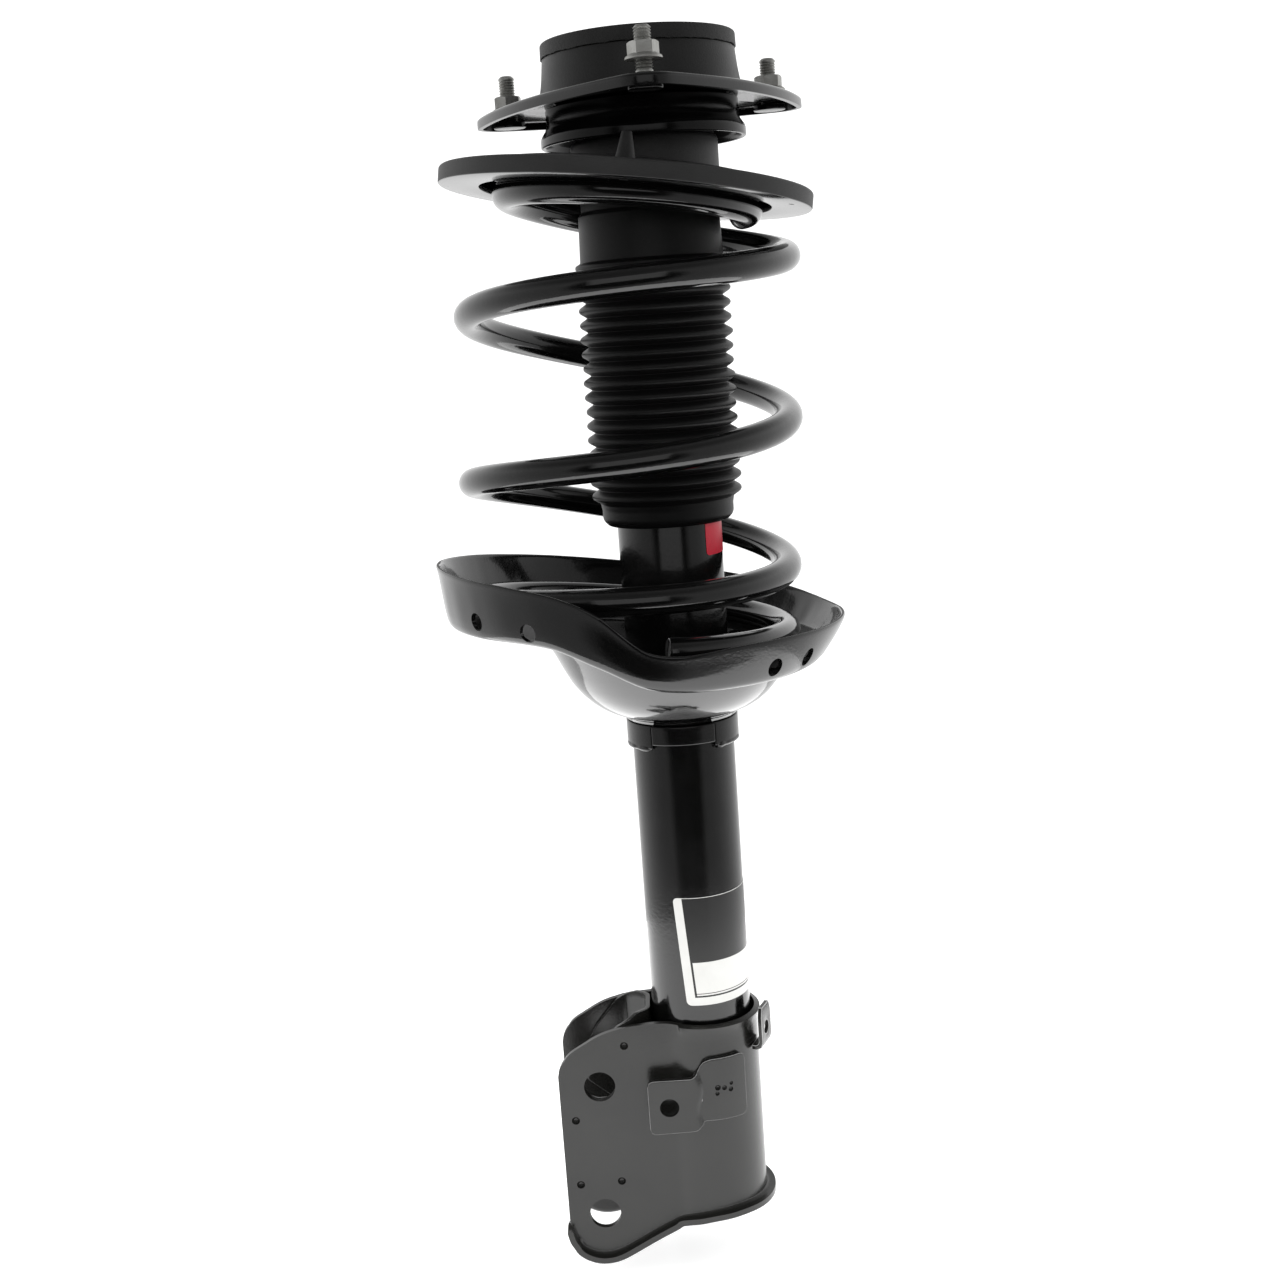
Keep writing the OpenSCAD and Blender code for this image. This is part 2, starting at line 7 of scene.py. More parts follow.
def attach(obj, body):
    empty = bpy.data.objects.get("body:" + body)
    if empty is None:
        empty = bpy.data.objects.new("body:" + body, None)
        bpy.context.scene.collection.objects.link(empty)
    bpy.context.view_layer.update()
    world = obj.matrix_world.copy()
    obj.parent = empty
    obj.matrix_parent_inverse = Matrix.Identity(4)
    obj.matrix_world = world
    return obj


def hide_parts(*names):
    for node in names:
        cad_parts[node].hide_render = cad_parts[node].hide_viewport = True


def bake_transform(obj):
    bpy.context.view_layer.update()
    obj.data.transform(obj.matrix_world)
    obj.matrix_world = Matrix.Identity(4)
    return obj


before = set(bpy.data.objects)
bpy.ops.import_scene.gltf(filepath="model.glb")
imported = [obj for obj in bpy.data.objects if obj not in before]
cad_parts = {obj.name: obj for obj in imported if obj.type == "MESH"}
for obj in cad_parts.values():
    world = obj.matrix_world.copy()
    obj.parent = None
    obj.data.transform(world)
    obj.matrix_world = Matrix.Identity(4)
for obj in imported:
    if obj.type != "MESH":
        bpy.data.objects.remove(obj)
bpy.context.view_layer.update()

# Shapes are made in millimetres and brought to metres when a piece is finished.
MM = 0.001
TURN = 2 * math.pi

# The CAD bodies that the pieces ride on
MOUNT, ROD, STRUT = "top_mount", "rod_and_upper_seat", "strut_body"

# ---------------------------------------------------------------- workshop


def rad(degrees):
    return math.radians(degrees)


def loose(bm, name="work"):
    """A bare object for a modifier to work on."""
    mesh = bpy.data.meshes.new(name)
    bm.to_mesh(mesh)
    bm.free()
    obj = bpy.data.objects.new(name, mesh)
    bpy.context.collection.objects.link(obj)
    return obj


def drop(obj):
    """Removes an object that was only made to work with."""
    mesh = obj.data
    bpy.data.objects.remove(obj)
    bpy.data.meshes.remove(mesh)


def worked(bm, *steps, paints=0):
    """The mesh after a list of modifiers, each given as its kind and its settings."""
    obj = loose(bm)
    for _ in range(paints):
        obj.data.materials.append(None)
    for kind, settings in steps:
        step = obj.modifiers.new(kind.lower(), kind)
        for key, value in settings.items():
            setattr(step, key, value)
    bpy.context.view_layer.update()
    out = bmesh.new()
    out.from_object(obj, bpy.context.evaluated_depsgraph_get())
    drop(obj)
    return out


def joined(bm, tool, how="DIFFERENCE", paints=0):
    """The body cut by, added to or kept within the tool."""
    bmesh.ops.recalc_face_normals(bm, faces=bm.faces[:])
    bmesh.ops.recalc_face_normals(tool, faces=tool.faces[:])
    cutter = loose(tool, "cutter")
    out = worked(bm, ("BOOLEAN", {"operation": how, "object": cutter, "solver": "EXACT"}), paints=paints)
    drop(cutter)
    return out


def eased(bm, width, segments=2, angle=40, highlight_slot=-1):
    """Every sharp edge rounded a little; the last argument picks a material of its own for the rounded
    strips, which carry a pale painted highlight.
    """
    return worked(bm, ("BEVEL", {"width": width, "segments": segments, "limit_method": "ANGLE",
                                 "angle_limit": rad(angle), "miter_outer": "MITER_ARC",
                                 "material": highlight_slot}), paints=highlight_slot + 1)


def thick(bm, thickness, side=-1):
    """A sheet given its thickness, inwards (-1), or to both sides of the drawn surface (0)."""
    return worked(bm, ("SOLIDIFY", {"thickness": thickness, "offset": side, "use_even_offset": True}))


def merged(*parts):
    """Several meshes gathered in one."""
    out = bmesh.new()
    for part in parts:
        mesh = bpy.data.meshes.new("part")
        part.to_mesh(mesh)
        part.free()
        out.from_mesh(mesh)
        bpy.data.meshes.remove(mesh)
    return out


def verts_of(geom):
    return [g for g in geom if isinstance(g, bmesh.types.BMVert)]


def edges_of(geom):
    return [g for g in geom if isinstance(g, bmesh.types.BMEdge)]


def raised(bm, by):
    """The flat faces drawn so far, pulled out into a solid."""
    grown = bmesh.ops.extrude_face_region(bm, geom=bm.faces[:])["geom"]
    bmesh.ops.translate(bm, vec=by, verts=verts_of(grown))
    return bm


def placed(bm, matrix):
    bmesh.ops.transform(bm, matrix=matrix, verts=bm.verts[:])
    return bm


def turned(profile, steps=96, ease=4):
    """A shape turned on the axis from a closed section of (radius, height, corner rounding)."""
    bm = bmesh.new()
    corners = [bm.verts.new((r, 0, z)) for r, z, _ in profile]
    bm.faces.new(corners)
    for corner, (_, _, rounding) in zip(corners, profile):
        if rounding:
            bmesh.ops.bevel(bm, geom=[corner], offset=rounding, segments=ease, profile=0.5,
                            affect="VERTICES", material=-1)
    bmesh.ops.delete(bm, geom=bm.faces[:], context="FACES_ONLY")
    bmesh.ops.spin(bm, geom=bm.verts[:] + bm.edges[:], cent=(0, 0, 0), axis=(0, 0, 1),
                   dvec=(0, 0, 0), angle=TURN, steps=steps, use_merge=True, use_duplicate=False)
    bmesh.ops.remove_doubles(bm, verts=bm.verts[:], dist=0.001)
    bmesh.ops.dissolve_degenerate(bm, edges=bm.edges[:], dist=0.0005)
    bmesh.ops.recalc_face_normals(bm, faces=bm.faces[:])
    return bm


def rod(radius, low, high, sides=48):
    """A plain round bar along the axis, used as a cutter."""
    bm = bmesh.new()
    bmesh.ops.create_cone(bm, cap_ends=True, segments=sides, radius1=radius, radius2=radius,
                          depth=high - low)
    bmesh.ops.translate(bm, verts=bm.verts[:], vec=(0, 0, (high + low) / 2))
    return bm


def bore(radius, x, z, sides=48):
    """A cutter that passes from side to side, for the holes of the bracket."""
    past = 60
    return placed(rod(radius, -past, past, sides),
                  Matrix.Translation((x, 0, z)) @ Matrix.Rotation(rad(90), 4, "X"))


def hexagon(across, height):
    """A six-sided bar, measured across its flats."""
    bm = bmesh.new()
    bmesh.ops.create_circle(bm, cap_ends=True, segments=6, radius=across / 2 / math.cos(rad(30)))
    return raised(bm, (0, 0, height))


def block(low, high):
    """A square block between two opposite corners."""
    bm = bmesh.new()
    bmesh.ops.create_cube(bm, size=1)
    size = Vector(high) - Vector(low)
    bmesh.ops.scale(bm, vec=size, verts=bm.verts[:])
    bmesh.ops.translate(bm, vec=(Vector(high) + Vector(low)) / 2, verts=bm.verts[:])
    return bm


def ball(centre, radius):
    """A round cutter for dents and stamped marks."""
    bm = bmesh.new()
    bmesh.ops.create_uvsphere(bm, u_segments=20, v_segments=12, radius=radius)
    bmesh.ops.translate(bm, vec=centre, verts=bm.verts[:])
    return bm


def shaped_grid(columns, rows, place):
    """A grid whose every point is moved to place(u, v), with u and v from 0 to 1."""
    bm = bmesh.new()
    bmesh.ops.create_grid(bm, x_segments=columns, y_segments=rows, size=0.5)
    for v in bm.verts:
        v.co = place(min(max(v.co.x + 0.5, 0), 1), min(max(v.co.y + 0.5, 0), 1))
    return bm


def around(azimuth, distance=0, height=0):
    """The place at an azimuth and a distance from the strut's axis."""
    return Matrix.Rotation(rad(azimuth), 4, "Z") @ Matrix.Translation((distance, 0, height))


def made(bm, name, body, paint, replaced=(), sharp=34, recalc=True):
    """Welds, scales and shades a mesh, and fixes the piece to its CAD body."""
    bmesh.ops.remove_doubles(bm, verts=bm.verts[:], dist=0.001)
    if recalc:
        bmesh.ops.recalc_face_normals(bm, faces=bm.faces[:])
    bmesh.ops.scale(bm, vec=(MM, MM, MM), verts=bm.verts[:])
    for face in bm.faces:
        face.smooth = True
    for edge in bm.edges:
        edge.smooth = len(edge.link_faces) == 2 and edge.calc_face_angle(0) < rad(sharp)
    obj = loose(bm, name)
    obj.data.name = name
    for m in paint if isinstance(paint, list) else [paint]:
        obj.data.materials.append(m)
    if body:
        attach(obj, body)
    if replaced:
        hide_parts(*([replaced] if isinstance(replaced, str) else replaced))
    return obj


# ---------------------------------------------------------------- finishes


def grey(value, tint=(1, 1, 1)):
    return (value * tint[0], value * tint[1], value * tint[2], 1)


def node(tree, kind, values=None, **settings):
    """A node with its settings made and its unlinked inputs filled in."""
    n = tree.nodes.new(kind)
    for key, value in settings.items():
        setattr(n, key, value)
    for key, value in (values or {}).items():
        n.inputs[key].default_value = value
    return n


def surface_group():
    """Colour, roughness and grain of a painted, moulded or plated surface.

    Smudges change the colour and the gloss over centimetres, and the grain lifts the surface."""
    tree = bpy.data.node_groups.new("Surface Grain", "ShaderNodeTree")
    for name, value in {"Colour": grey(0.02), "Smudge Colour": grey(0.05), "Smudge Scale": 30.0,
                        "Smudge Amount": 0.3, "Roughness": 0.3, "Roughness Spread": 0.1,
                        "Grain Scale": 900.0, "Grain Height": 0.1}.items():
        kind = "NodeSocketFloat" if isinstance(value, float) else "NodeSocketColor"
        entry = tree.interface.new_socket(name=name, in_out="INPUT", socket_type=kind)
        entry.default_value = value
    for name, kind in (("Colour", "NodeSocketColor"), ("Roughness", "NodeSocketFloat"),
                       ("Normal", "NodeSocketVector")):
        tree.interface.new_socket(name=name, in_out="OUTPUT", socket_type=kind)
    enter, leave = node(tree, "NodeGroupInput"), node(tree, "NodeGroupOutput")
    where = node(tree, "ShaderNodeTexCoord")
    smudge = node(tree, "ShaderNodeTexNoise", {"Detail": 5.0, "Roughness": 0.62, "Distortion": 0.4})
    shape = node(tree, "ShaderNodeMapRange", {"From Min": 0.42, "From Max": 0.72})
    amount = node(tree, "ShaderNodeMath", operation="MULTIPLY")
    colour = node(tree, "ShaderNodeMix", data_type="RGBA")
    swing = node(tree, "ShaderNodeMath", operation="MULTIPLY_ADD")
    centred = node(tree, "ShaderNodeMath", {1: 0.5}, operation="SUBTRACT")
    grain = node(tree, "ShaderNodeTexNoise", {"Detail": 3.0, "Roughness": 0.55})
    bump = node(tree, "ShaderNodeBump", {"Distance": 0.001})
    for start, out, end, into in (
            (where, "Object", smudge, "Vector"), (where, "Object", grain, "Vector"),
            (enter, "Smudge Scale", smudge, "Scale"), (enter, "Grain Scale", grain, "Scale"),
            (smudge, "Fac", shape, "Value"), (shape, "Result", amount, 0),
            (enter, "Smudge Amount", amount, 1), (amount, 0, colour, "Factor"),
            (enter, "Colour", colour, "A"), (enter, "Smudge Colour", colour, "B"),
            (smudge, "Fac", centred, 0), (centred, 0, swing, 0),
            (enter, "Roughness Spread", swing, 1), (enter, "Roughness", swing, 2),
            (grain, "Fac", bump, "Height"), (enter, "Grain Height", bump, "Strength"),
            (colour, "Result", leave, "Colour"), (swing, 0, leave, "Roughness"),
            (bump, "Normal", leave, "Normal")):
        tree.links.new(start.outputs[out], end.inputs[into])
    return tree


SURFACE = surface_group()


def finish(name, colour, smudge, roughness, spread=0.1, smudge_scale=30, amount=0.4,
           grain_scale=900, grain=0.1, **shader):
    """A material made from the shared surface group; shader sets the plain sockets."""
    mat = bpy.data.materials.new(name)
    mat.use_nodes = True
    tree = mat.node_tree
    principled = tree.nodes["Principled BSDF"]
    group = node(tree, "ShaderNodeGroup")
    group.node_tree = SURFACE
    for key, value in {"Colour": colour, "Smudge Colour": smudge, "Smudge Scale": smudge_scale,
                       "Smudge Amount": amount, "Roughness": roughness,
                       "Roughness Spread": spread, "Grain Scale": grain_scale,
                       "Grain Height": grain}.items():
        group.inputs[key].default_value = value
    tree.links.new(group.outputs["Colour"], principled.inputs["Base Color"])
    tree.links.new(group.outputs["Roughness"], principled.inputs["Roughness"])
    tree.links.new(group.outputs["Normal"], principled.inputs["Normal"])
    for key, value in shader.items():
        principled.inputs[key.replace("_", " ").title().replace("Ior", "IOR")].default_value = value
    mat.diffuse_color = colour
    return mat


gloss_paint = finish("Gloss black paint", grey(0.0016), grey(0.006), 0.12, 0.08, 26, 0.4, 700, 0.05,
                     coat_weight=0.6, coat_roughness=0.04)
tube_paint = finish("Damper tube paint", grey(0.0014), grey(0.005), 0.16, 0.1, 40, 0.5, 500, 0.06,
                    coat_weight=0.4, coat_roughness=0.08)
spring_paint = finish("Spring powder coat", grey(0.0014), grey(0.004), 0.12, 0.08, 30, 0.3, 420, 0.06,
                      coat_weight=0.7, coat_roughness=0.04)
satin_paint = finish("Satin bracket paint", grey(0.009, (1, 1, 0.9)), grey(0.003), 0.24, 0.1, 34,
                     0.55, 800, 0.07, coat_weight=0.1, coat_roughness=0.2)
housing_paint = finish("Mount housing paint", grey(0.002), grey(0.004), 0.36, 0.1, 50, 0.4, 1200, 0.12)
plate_paint = finish("Mount plate paint", grey(0.0012), grey(0.004), 0.12, 0.06, 40, 0.4, 900, 0.05,
                     coat_weight=0.1, coat_roughness=0.06)
bowl_paint = finish("Lower bowl paint", grey(0.002), grey(0.006), 0.12, 0.06, 26, 0.4, 700, 0.05,
                    coat_weight=1.0, coat_roughness=0.05, coat_ior=1.85)
# Pale colour for the rounded edges of the bracket sheets: a painted highlight standing in for the light the
# edges catch
painted_edge_highlight = finish("Painted edge highlight", grey(0.3), grey(0.1), 0.3, 0.1, 60, 0.5, 900, 0.05,
                    coat_weight=0.3, coat_roughness=0.15)
cup_paint = finish("Bearing cup paint", grey(0.001), grey(0.003), 0.12, 0.06, 50, 0.4, 1200, 0.05,
                   specular_ior_level=0.35)
seat_coat = finish("Spring seat coating", grey(0.008), grey(0.014), 0.48, 0.1, 45, 0.4, 1500, 0.12)
mount_rubber = finish("Mount rubber", grey(0.003), grey(0.008), 0.5, 0.14, 60, 0.5, 1300, 0.25)
boot_rubber = finish("Boot rubber", grey(0.0012), grey(0.003), 0.4, 0.1, 45, 0.4, 1600, 0.12,
                     specular_ior_level=0.34)
zinc = finish("Zinc plate", grey(0.5, (1, 1, 0.96)), grey(0.3, (1, 0.98, 0.9)), 0.42, 0.15, 160, 0.5,
              1500, 0.15, metallic=1.0)
steel = finish("Machined steel", grey(0.42), grey(0.25), 0.32, 0.15, 120, 0.5, 2500, 0.1, metallic=1.0)
dark_steel = finish("Oxide steel", grey(0.05), grey(0.09), 0.42, 0.12, 90, 0.5, 1800, 0.1, metallic=0.8)
chrome = finish("Hard chrome", grey(0.7), grey(0.6), 0.08, 0.05, 60, 0.3, 3000, 0.02, metallic=1.0)
sinter = finish("Sintered iron", grey(0.2), grey(0.12), 0.55, 0.15, 150, 0.5, 2600, 0.3, metallic=0.8)
foam = finish("Bump stop foam", grey(0.62, (1, 0.9, 0.6)), grey(0.45, (1, 0.86, 0.55)), 0.8, 0.1, 90,
              0.5, 1400, 0.5)
band = finish("Slide band", grey(0.12, (1, 0.75, 0.45)), grey(0.08, (1, 0.75, 0.45)), 0.45, 0.1, 90,
              0.5, 1500, 0.1)
sticker_film = finish("Red sticker film", (0.4, 0.002, 0.018, 1), (0.28, 0.002, 0.014, 1), 0.4, 0.1, 70,
                      0.4, 900, 0.04)


def label_material(width, height):
    """White film printed with a dark panel over a framed pale one. UV is in millimetres."""
    mat = finish("Printed label film", grey(0.58, (1, 1, 0.97)), grey(0.5, (1, 1, 0.95)), 0.32, 0.1,
                 60, 0.4, 900, 0.03, coat_weight=0.3, coat_roughness=0.15)
    tree = mat.node_tree
    links = tree.links
    principled = tree.nodes["Principled BSDF"]
    paper = principled.inputs["Base Color"].links[0].from_socket
    uv = node(tree, "ShaderNodeUVMap", uv_map="Print")
    split = node(tree, "ShaderNodeSeparateXYZ")
    links.new(uv.outputs["UV"], split.inputs["Vector"])

    def edge(axis, at, way="GREATER_THAN"):
        n = node(tree, "ShaderNodeMath", {1: at}, operation=way)
        links.new(split.outputs[axis], n.inputs[0])
        return n.outputs[0]

    def both(a, b, how="MULTIPLY"):
        n = node(tree, "ShaderNodeMath", operation=how)
        links.new(a, n.inputs[0])
        links.new(b, n.inputs[1])
        return n.outputs[0]

    def box(left, right, low, high):
        sides = both(edge("X", left), edge("X", right, "LESS_THAN"))
        ends = both(edge("Y", low), edge("Y", high, "LESS_THAN"))
        return both(sides, ends)

    border, panel_low = 4.6, height * 0.4
    ink = box(border, width, panel_low, height - 0.25)
    for left, right, low, high in ((border, border + 1.1, 4.2, panel_low),
                                   (border, width, 4.2, 5.1), (border, width, 5.9, 6.3)):
        ink = both(ink, box(left, right, low, high), "MAXIMUM")
    mix = node(tree, "ShaderNodeMix", data_type="RGBA")
    links.new(ink, mix.inputs["Factor"])
    links.new(paper, mix.inputs["A"])
    mix.inputs["B"].default_value = grey(0.006)
    links.new(mix.outputs["Result"], principled.inputs["Base Color"])
    return mat


# ---------------------------------------------------------------- curves through stations


def along(rows, t, c):
    """A smooth curve through the rows."""
    i = 0
    while i < len(rows) - 2 and t >= rows[i + 1][0]:
        i += 1

    def slope(k):
        a, b = max(k - 1, 0), min(k + 1, len(rows) - 1)
        return (rows[b][c] - rows[a][c]) / (rows[b][0] - rows[a][0])

    w = rows[i + 1][0] - rows[i][0]
    u = (t - rows[i][0]) / w
    return ((1 + 2 * u) * (1 - u) ** 2 * rows[i][c] + u * (1 - u) ** 2 * w * slope(i)
            + u * u * (3 - 2 * u) * rows[i + 1][c] - u * u * (1 - u) * w * slope(i + 1))


def straight(rows, x):
    """Straight lines through (x, value) rows."""
    if x <= rows[0][0]:
        return rows[0][1]
    for (x0, y0), (x1, y1) in zip(rows, rows[1:]):
        if x <= x1:
            return y0 + (y1 - y0) * (x - x0) / (x1 - x0)
    return rows[-1][1]


def softened(rows, x, reach=2.5):
    """The same lines with their corners worn round."""
    samples = 7
    room = min(reach, x - rows[0][0], rows[-1][0] - x)
    steps = [room * (2 * i / (samples - 1) - 1) for i in range(samples)]
    return sum(straight(rows, x + s) for s in steps) / samples


# ---------------------------------------------------------------- top mount

LOBES = 3
STUD_PCD, STUD_ANGLE, STUD_R, HELD_R, SHANK_H = 148, 31.8, 4, 4.25, 1.6
PLATE_T, PLATE_RIM, LOBE_R, PLATE_MID = 3, 5.2, 16, 62
HOUSING_R, MOUNT_H, BAND_H, SHELL_IN = 45.2, 26.6, 7, 17
# How high each nut stands, how far it is turned, and where its stud ends
NUT_LIFT, NUT_SPIN, STUD_TIP = (3.3, 1.8, 6.8), (8, 24, 3), (19, 19, 21)


def at_stud(i, height=0):
    return around(STUD_ANGLE + 360 / LOBES * i, STUD_PCD / 2, height)


def lobed_outline(steps=22):
    """Plan of the mount plate: a small arc round each stud, and a wide one between two studs."""
    reach, m = STUD_PCD / 2, PLATE_MID - LOBE_R
    back = (reach * reach - m * m) / (2 * (m - reach / 2))
    side_r = PLATE_MID + back
    lean = math.degrees(math.atan2(reach * math.sin(rad(60)), reach / 2 + back))
    points = []

    def arc(centre, direction, radius, turn):
        c = Vector((math.cos(rad(direction)), math.sin(rad(direction)))) * centre
        return c + Vector((math.cos(rad(turn)), math.sin(rad(turn)))) * radius

    for lobe in range(LOBES):
        a = STUD_ANGLE + 360 / LOBES * lobe
        for s in range(steps + 1):
            points.append(arc(reach, a, LOBE_R, a + (60 - lean) * (2 * s / steps - 1)))
        for s in range(1, steps):
            points.append(arc(-back, a + 60, side_r, a + 60 + lean * (2 * s / steps - 1)))
    # The arcs are blended a little where they meet, as a pressing is
    n = len(points)
    for _ in range(6):
        points = [(points[i - 1] + points[i] * 2 + points[(i + 1) % n]) / 4 for i in range(n)]
    return points


def mount_plate():
    """The pressing that carries the studs, its rim turned down."""
    past = 20
    bm = bmesh.new()
    face = bm.faces.new([bm.verts.new((p.x, p.y, 0)) for p in lobed_outline()])
    skirt = bmesh.ops.extrude_edge_only(bm, edges=face.edges[:])["geom"]
    bmesh.ops.translate(bm, vec=(0, 0, -PLATE_RIM), verts=verts_of(skirt))
    bmesh.ops.recalc_face_normals(bm, faces=bm.faces[:])
    if face.normal.z < 0:
        bmesh.ops.reverse_faces(bm, faces=bm.faces[:])
    bmesh.ops.bevel(bm, geom=face.edges[:], offset=2, segments=6, profile=0.5, affect="EDGES",
                    material=-1)
    bm = thick(bm, PLATE_T - 0.4)
    bm = joined(bm, rod(HOUSING_R - 5, -past, past, 96))
    for i in range(LOBES):
        bm = joined(bm, placed(rod(HELD_R + 0.05, -past, past, 32), at_stud(i)))
    made(eased(bm, 0.7, 3), "mount_plate_pressing", MOUNT, plate_paint, "mount_plate")


def mount_body():
    """The flared housing, the rubber band that closes its top and the rubber inside it."""
    wall = 3
    housing = turned([(HOUSING_R - wall, 0, 0), (HOUSING_R + 4.3, 0, 0.4), (HOUSING_R + 3.1, 1.2, 0.5),
                      (HOUSING_R + 2.1, 4, 1.4), (HOUSING_R + 1.1, 9, 3), (HOUSING_R, MOUNT_H - BAND_H, 0.3),
                      (HOUSING_R - wall, MOUNT_H - BAND_H, 0)], 128)
    made(housing, "mount_housing_shell", MOUNT, housing_paint, "mount_housing")
    low = MOUNT_H - BAND_H
    ring = turned([(HOUSING_R - wall - 1, low, 0.4), (HOUSING_R + 0.7, low + 0.1, 0.35),
                   (HOUSING_R + 0.5, MOUNT_H, 1.2), (HOUSING_R - wall - 1, MOUNT_H, 1)], 160)
    # Moulding flash hangs unevenly from the band's lower edge
    for v in ring.verts:
        r = math.hypot(v.co.x, v.co.y)
        if v.co.z < low + 0.8 and r > HOUSING_R:
            wave = noise.noise(Vector((v.co.x, v.co.y, 0)) * 0.16) + 0.6 * noise.noise(
                Vector((v.co.x, v.co.y, 9)) * 0.5)
            v.co.z += 0.75 * min(wave, 0.1)
    made(ring, "mount_rubber_ring", MOUNT, mount_rubber, "mount_rubber_band")
    top = 15
    core = turned([(SHELL_IN + 2, -PLATE_T, 0), (HOUSING_R - 5, -PLATE_T, 0.8), (HOUSING_R - 5, 0, 0),
                   (HOUSING_R - wall, 0, 0), (HOUSING_R - wall, top + 3, 1.2), (HOUSING_R - 6, top + 1, 2),
                   (HOUSING_R - 10, top - 3, 3), (30, top - 2, 2), (27, top, 1.5), (24, top, 0.8),
                   (24, top - 6, 0.8), (SHELL_IN + 2, top - 6, 0)], 112)
    made(core, "mount_rubber_core", MOUNT, mount_rubber, "mount_rubber")


def threaded(radius, depth, pitch, low, high, tip=1.2):
    """Section of a threaded bar from its lower end to its tip."""
    rows = [(0, low, 0), (radius, low, 0)]
    z = low + 0.6
    while z < high - tip - pitch / 2:
        rows += [(radius, z, 0), (radius - depth, z + pitch / 2, 0), (radius, z + pitch, 0)]
        z += pitch
    return rows + [(radius, high - tip, 0), (radius - tip, high, 0.3), (0, high, 0)]


def flange_nut():
    across, tall, flange_r = 12, 7.6, 8.2
    crown = turned([(0, -0.1, 0), (7.2, -0.1, 0), (7.2, 6.7, 0), (5.9, 7.5, 0), (0, 7.5, 0)], 48)
    flange = turned([(0, 0, 0), (flange_r, 0, 0.25), (flange_r, 1.1, 0.4), (6.2, 2.5, 0.5), (0, 2.5, 0)], 48)
    nut = joined(joined(hexagon(across, tall), crown, "INTERSECT"), flange, "UNION")
    hole = turned([(0, -1, 0), (4.4, -1, 0), (3.65, 0.4, 0), (3.65, 6.9, 0), (4.5, 8, 0), (0, 8, 0)], 40)
    return eased(joined(nut, hole), 0.18)


def studs_and_nuts():
    head_r, head_low = 7.8, -PLATE_T - 2.6
    parts, nuts = [], []
    for i in range(LOBES):
        thread = turned(threaded(STUD_R - 0.1, 0.5, 1.25, SHANK_H, STUD_TIP[i]), 40, 2)
        parts.append(placed(thread, at_stud(i)))
        body = turned([(0, head_low, 0), (head_r, head_low, 0.5), (head_r, -PLATE_T, 0.3),
                       (HELD_R, -PLATE_T, 0), (HELD_R, 0, 0), (STUD_R, 0, 0), (STUD_R, SHANK_H, 0.3),
                       (0, SHANK_H, 0)], 48)
        parts.append(placed(body, at_stud(i)))
        nuts.append(placed(flange_nut(), at_stud(i, NUT_LIFT[i]) @ Matrix.Rotation(rad(NUT_SPIN[i]), 4, "Z")))
    studs = made(merged(*parts), "stud_bolts", MOUNT, [zinc, plate_paint], "mount_studs", 28)
    # The heads were painted with the plate
    for face in studs.data.polygons:
        if face.center.z < (0.1 - PLATE_T) * MM:
            face.material_index = 1
    made(merged(*nuts), "flange_nuts", MOUNT, zinc, "stud_nuts", 28)


def bearing_housing():
    """The cup under the plate, its mouth flared."""
    top, lip, mouth = -PLATE_T, 48.5, -20.4
    cup = turned([(SHELL_IN + 5, top, 0), (lip - 3, top, 0.8), (lip - 3, top - 8, 1.5),
                  (lip - 2.4, top - 9.6, 1), (lip, mouth + 4.4, 1.2), (lip, mouth, 0.7),
                  (lip - 2.2, mouth, 0.7), (lip - 2.8, mouth + 3, 0.6),
                  (lip - 5.5, top - 9, 1.5), (lip - 5.5, top - 2.5, 1), (SHELL_IN + 5, top - 2.5, 0)], 128)
    made(cup, "bearing_cup_shell", MOUNT, cup_paint, "bearing_cup")


# ---------------------------------------------------------------- rod nut and upper seat

DISC_AT = Vector((-9.4, 0, -37.3))
DISC = Matrix.Translation(DISC_AT) @ Euler((-math.atan(0.04), math.atan(0.138), 0)).to_matrix().to_4x4()
DOME_R, DOME_TOP, DOME_T = 34.9, -18.7, 2.4
SEAT_R, SEAT_RIM, STEP_R, STEP_H, HEM_R = 88.8, 8, 68, 3.5, 69.5
PLUG_AT = (0.4, -76)


def rod_hardware():
    """The cup washer and the nut on the top of the piston rod."""
    low, t, washer_r, rod_r = 9.3, 2.5, 20, 7
    washer = turned([(rod_r, low, 0.2), (washer_r, low, 0.5), (washer_r, low + t, 0.5),
                     (rod_r, low + t, 0.2)], 64)
    made(washer, "rod_top_washer", ROD, zinc, "rod_washer")
    base, across, tall, flange_r = low + t, 22, 9, 14.5
    crown = turned([(0, base - 0.1, 0), (13.4, base - 0.1, 0), (13.4, base + 7.8, 0), (11, base + tall, 0),
                    (0, base + tall, 0)], 64)
    flange = turned([(0, base, 0), (flange_r, base, 0.3), (flange_r, base + 1.8, 0.4), (12, base + 3, 0.4),
                     (0, base + 3, 0)], 64)
    nut = placed(hexagon(across, tall), Matrix.Translation((0, 0, base)))
    nut = joined(joined(nut, crown, "INTERSECT"), flange, "UNION")
    nut = joined(nut, rod(rod_r + 0.02, base - 1, base + 20))
    made(eased(nut, 0.2), "rod_top_nut", ROD, zinc, "rod_nut", 28)


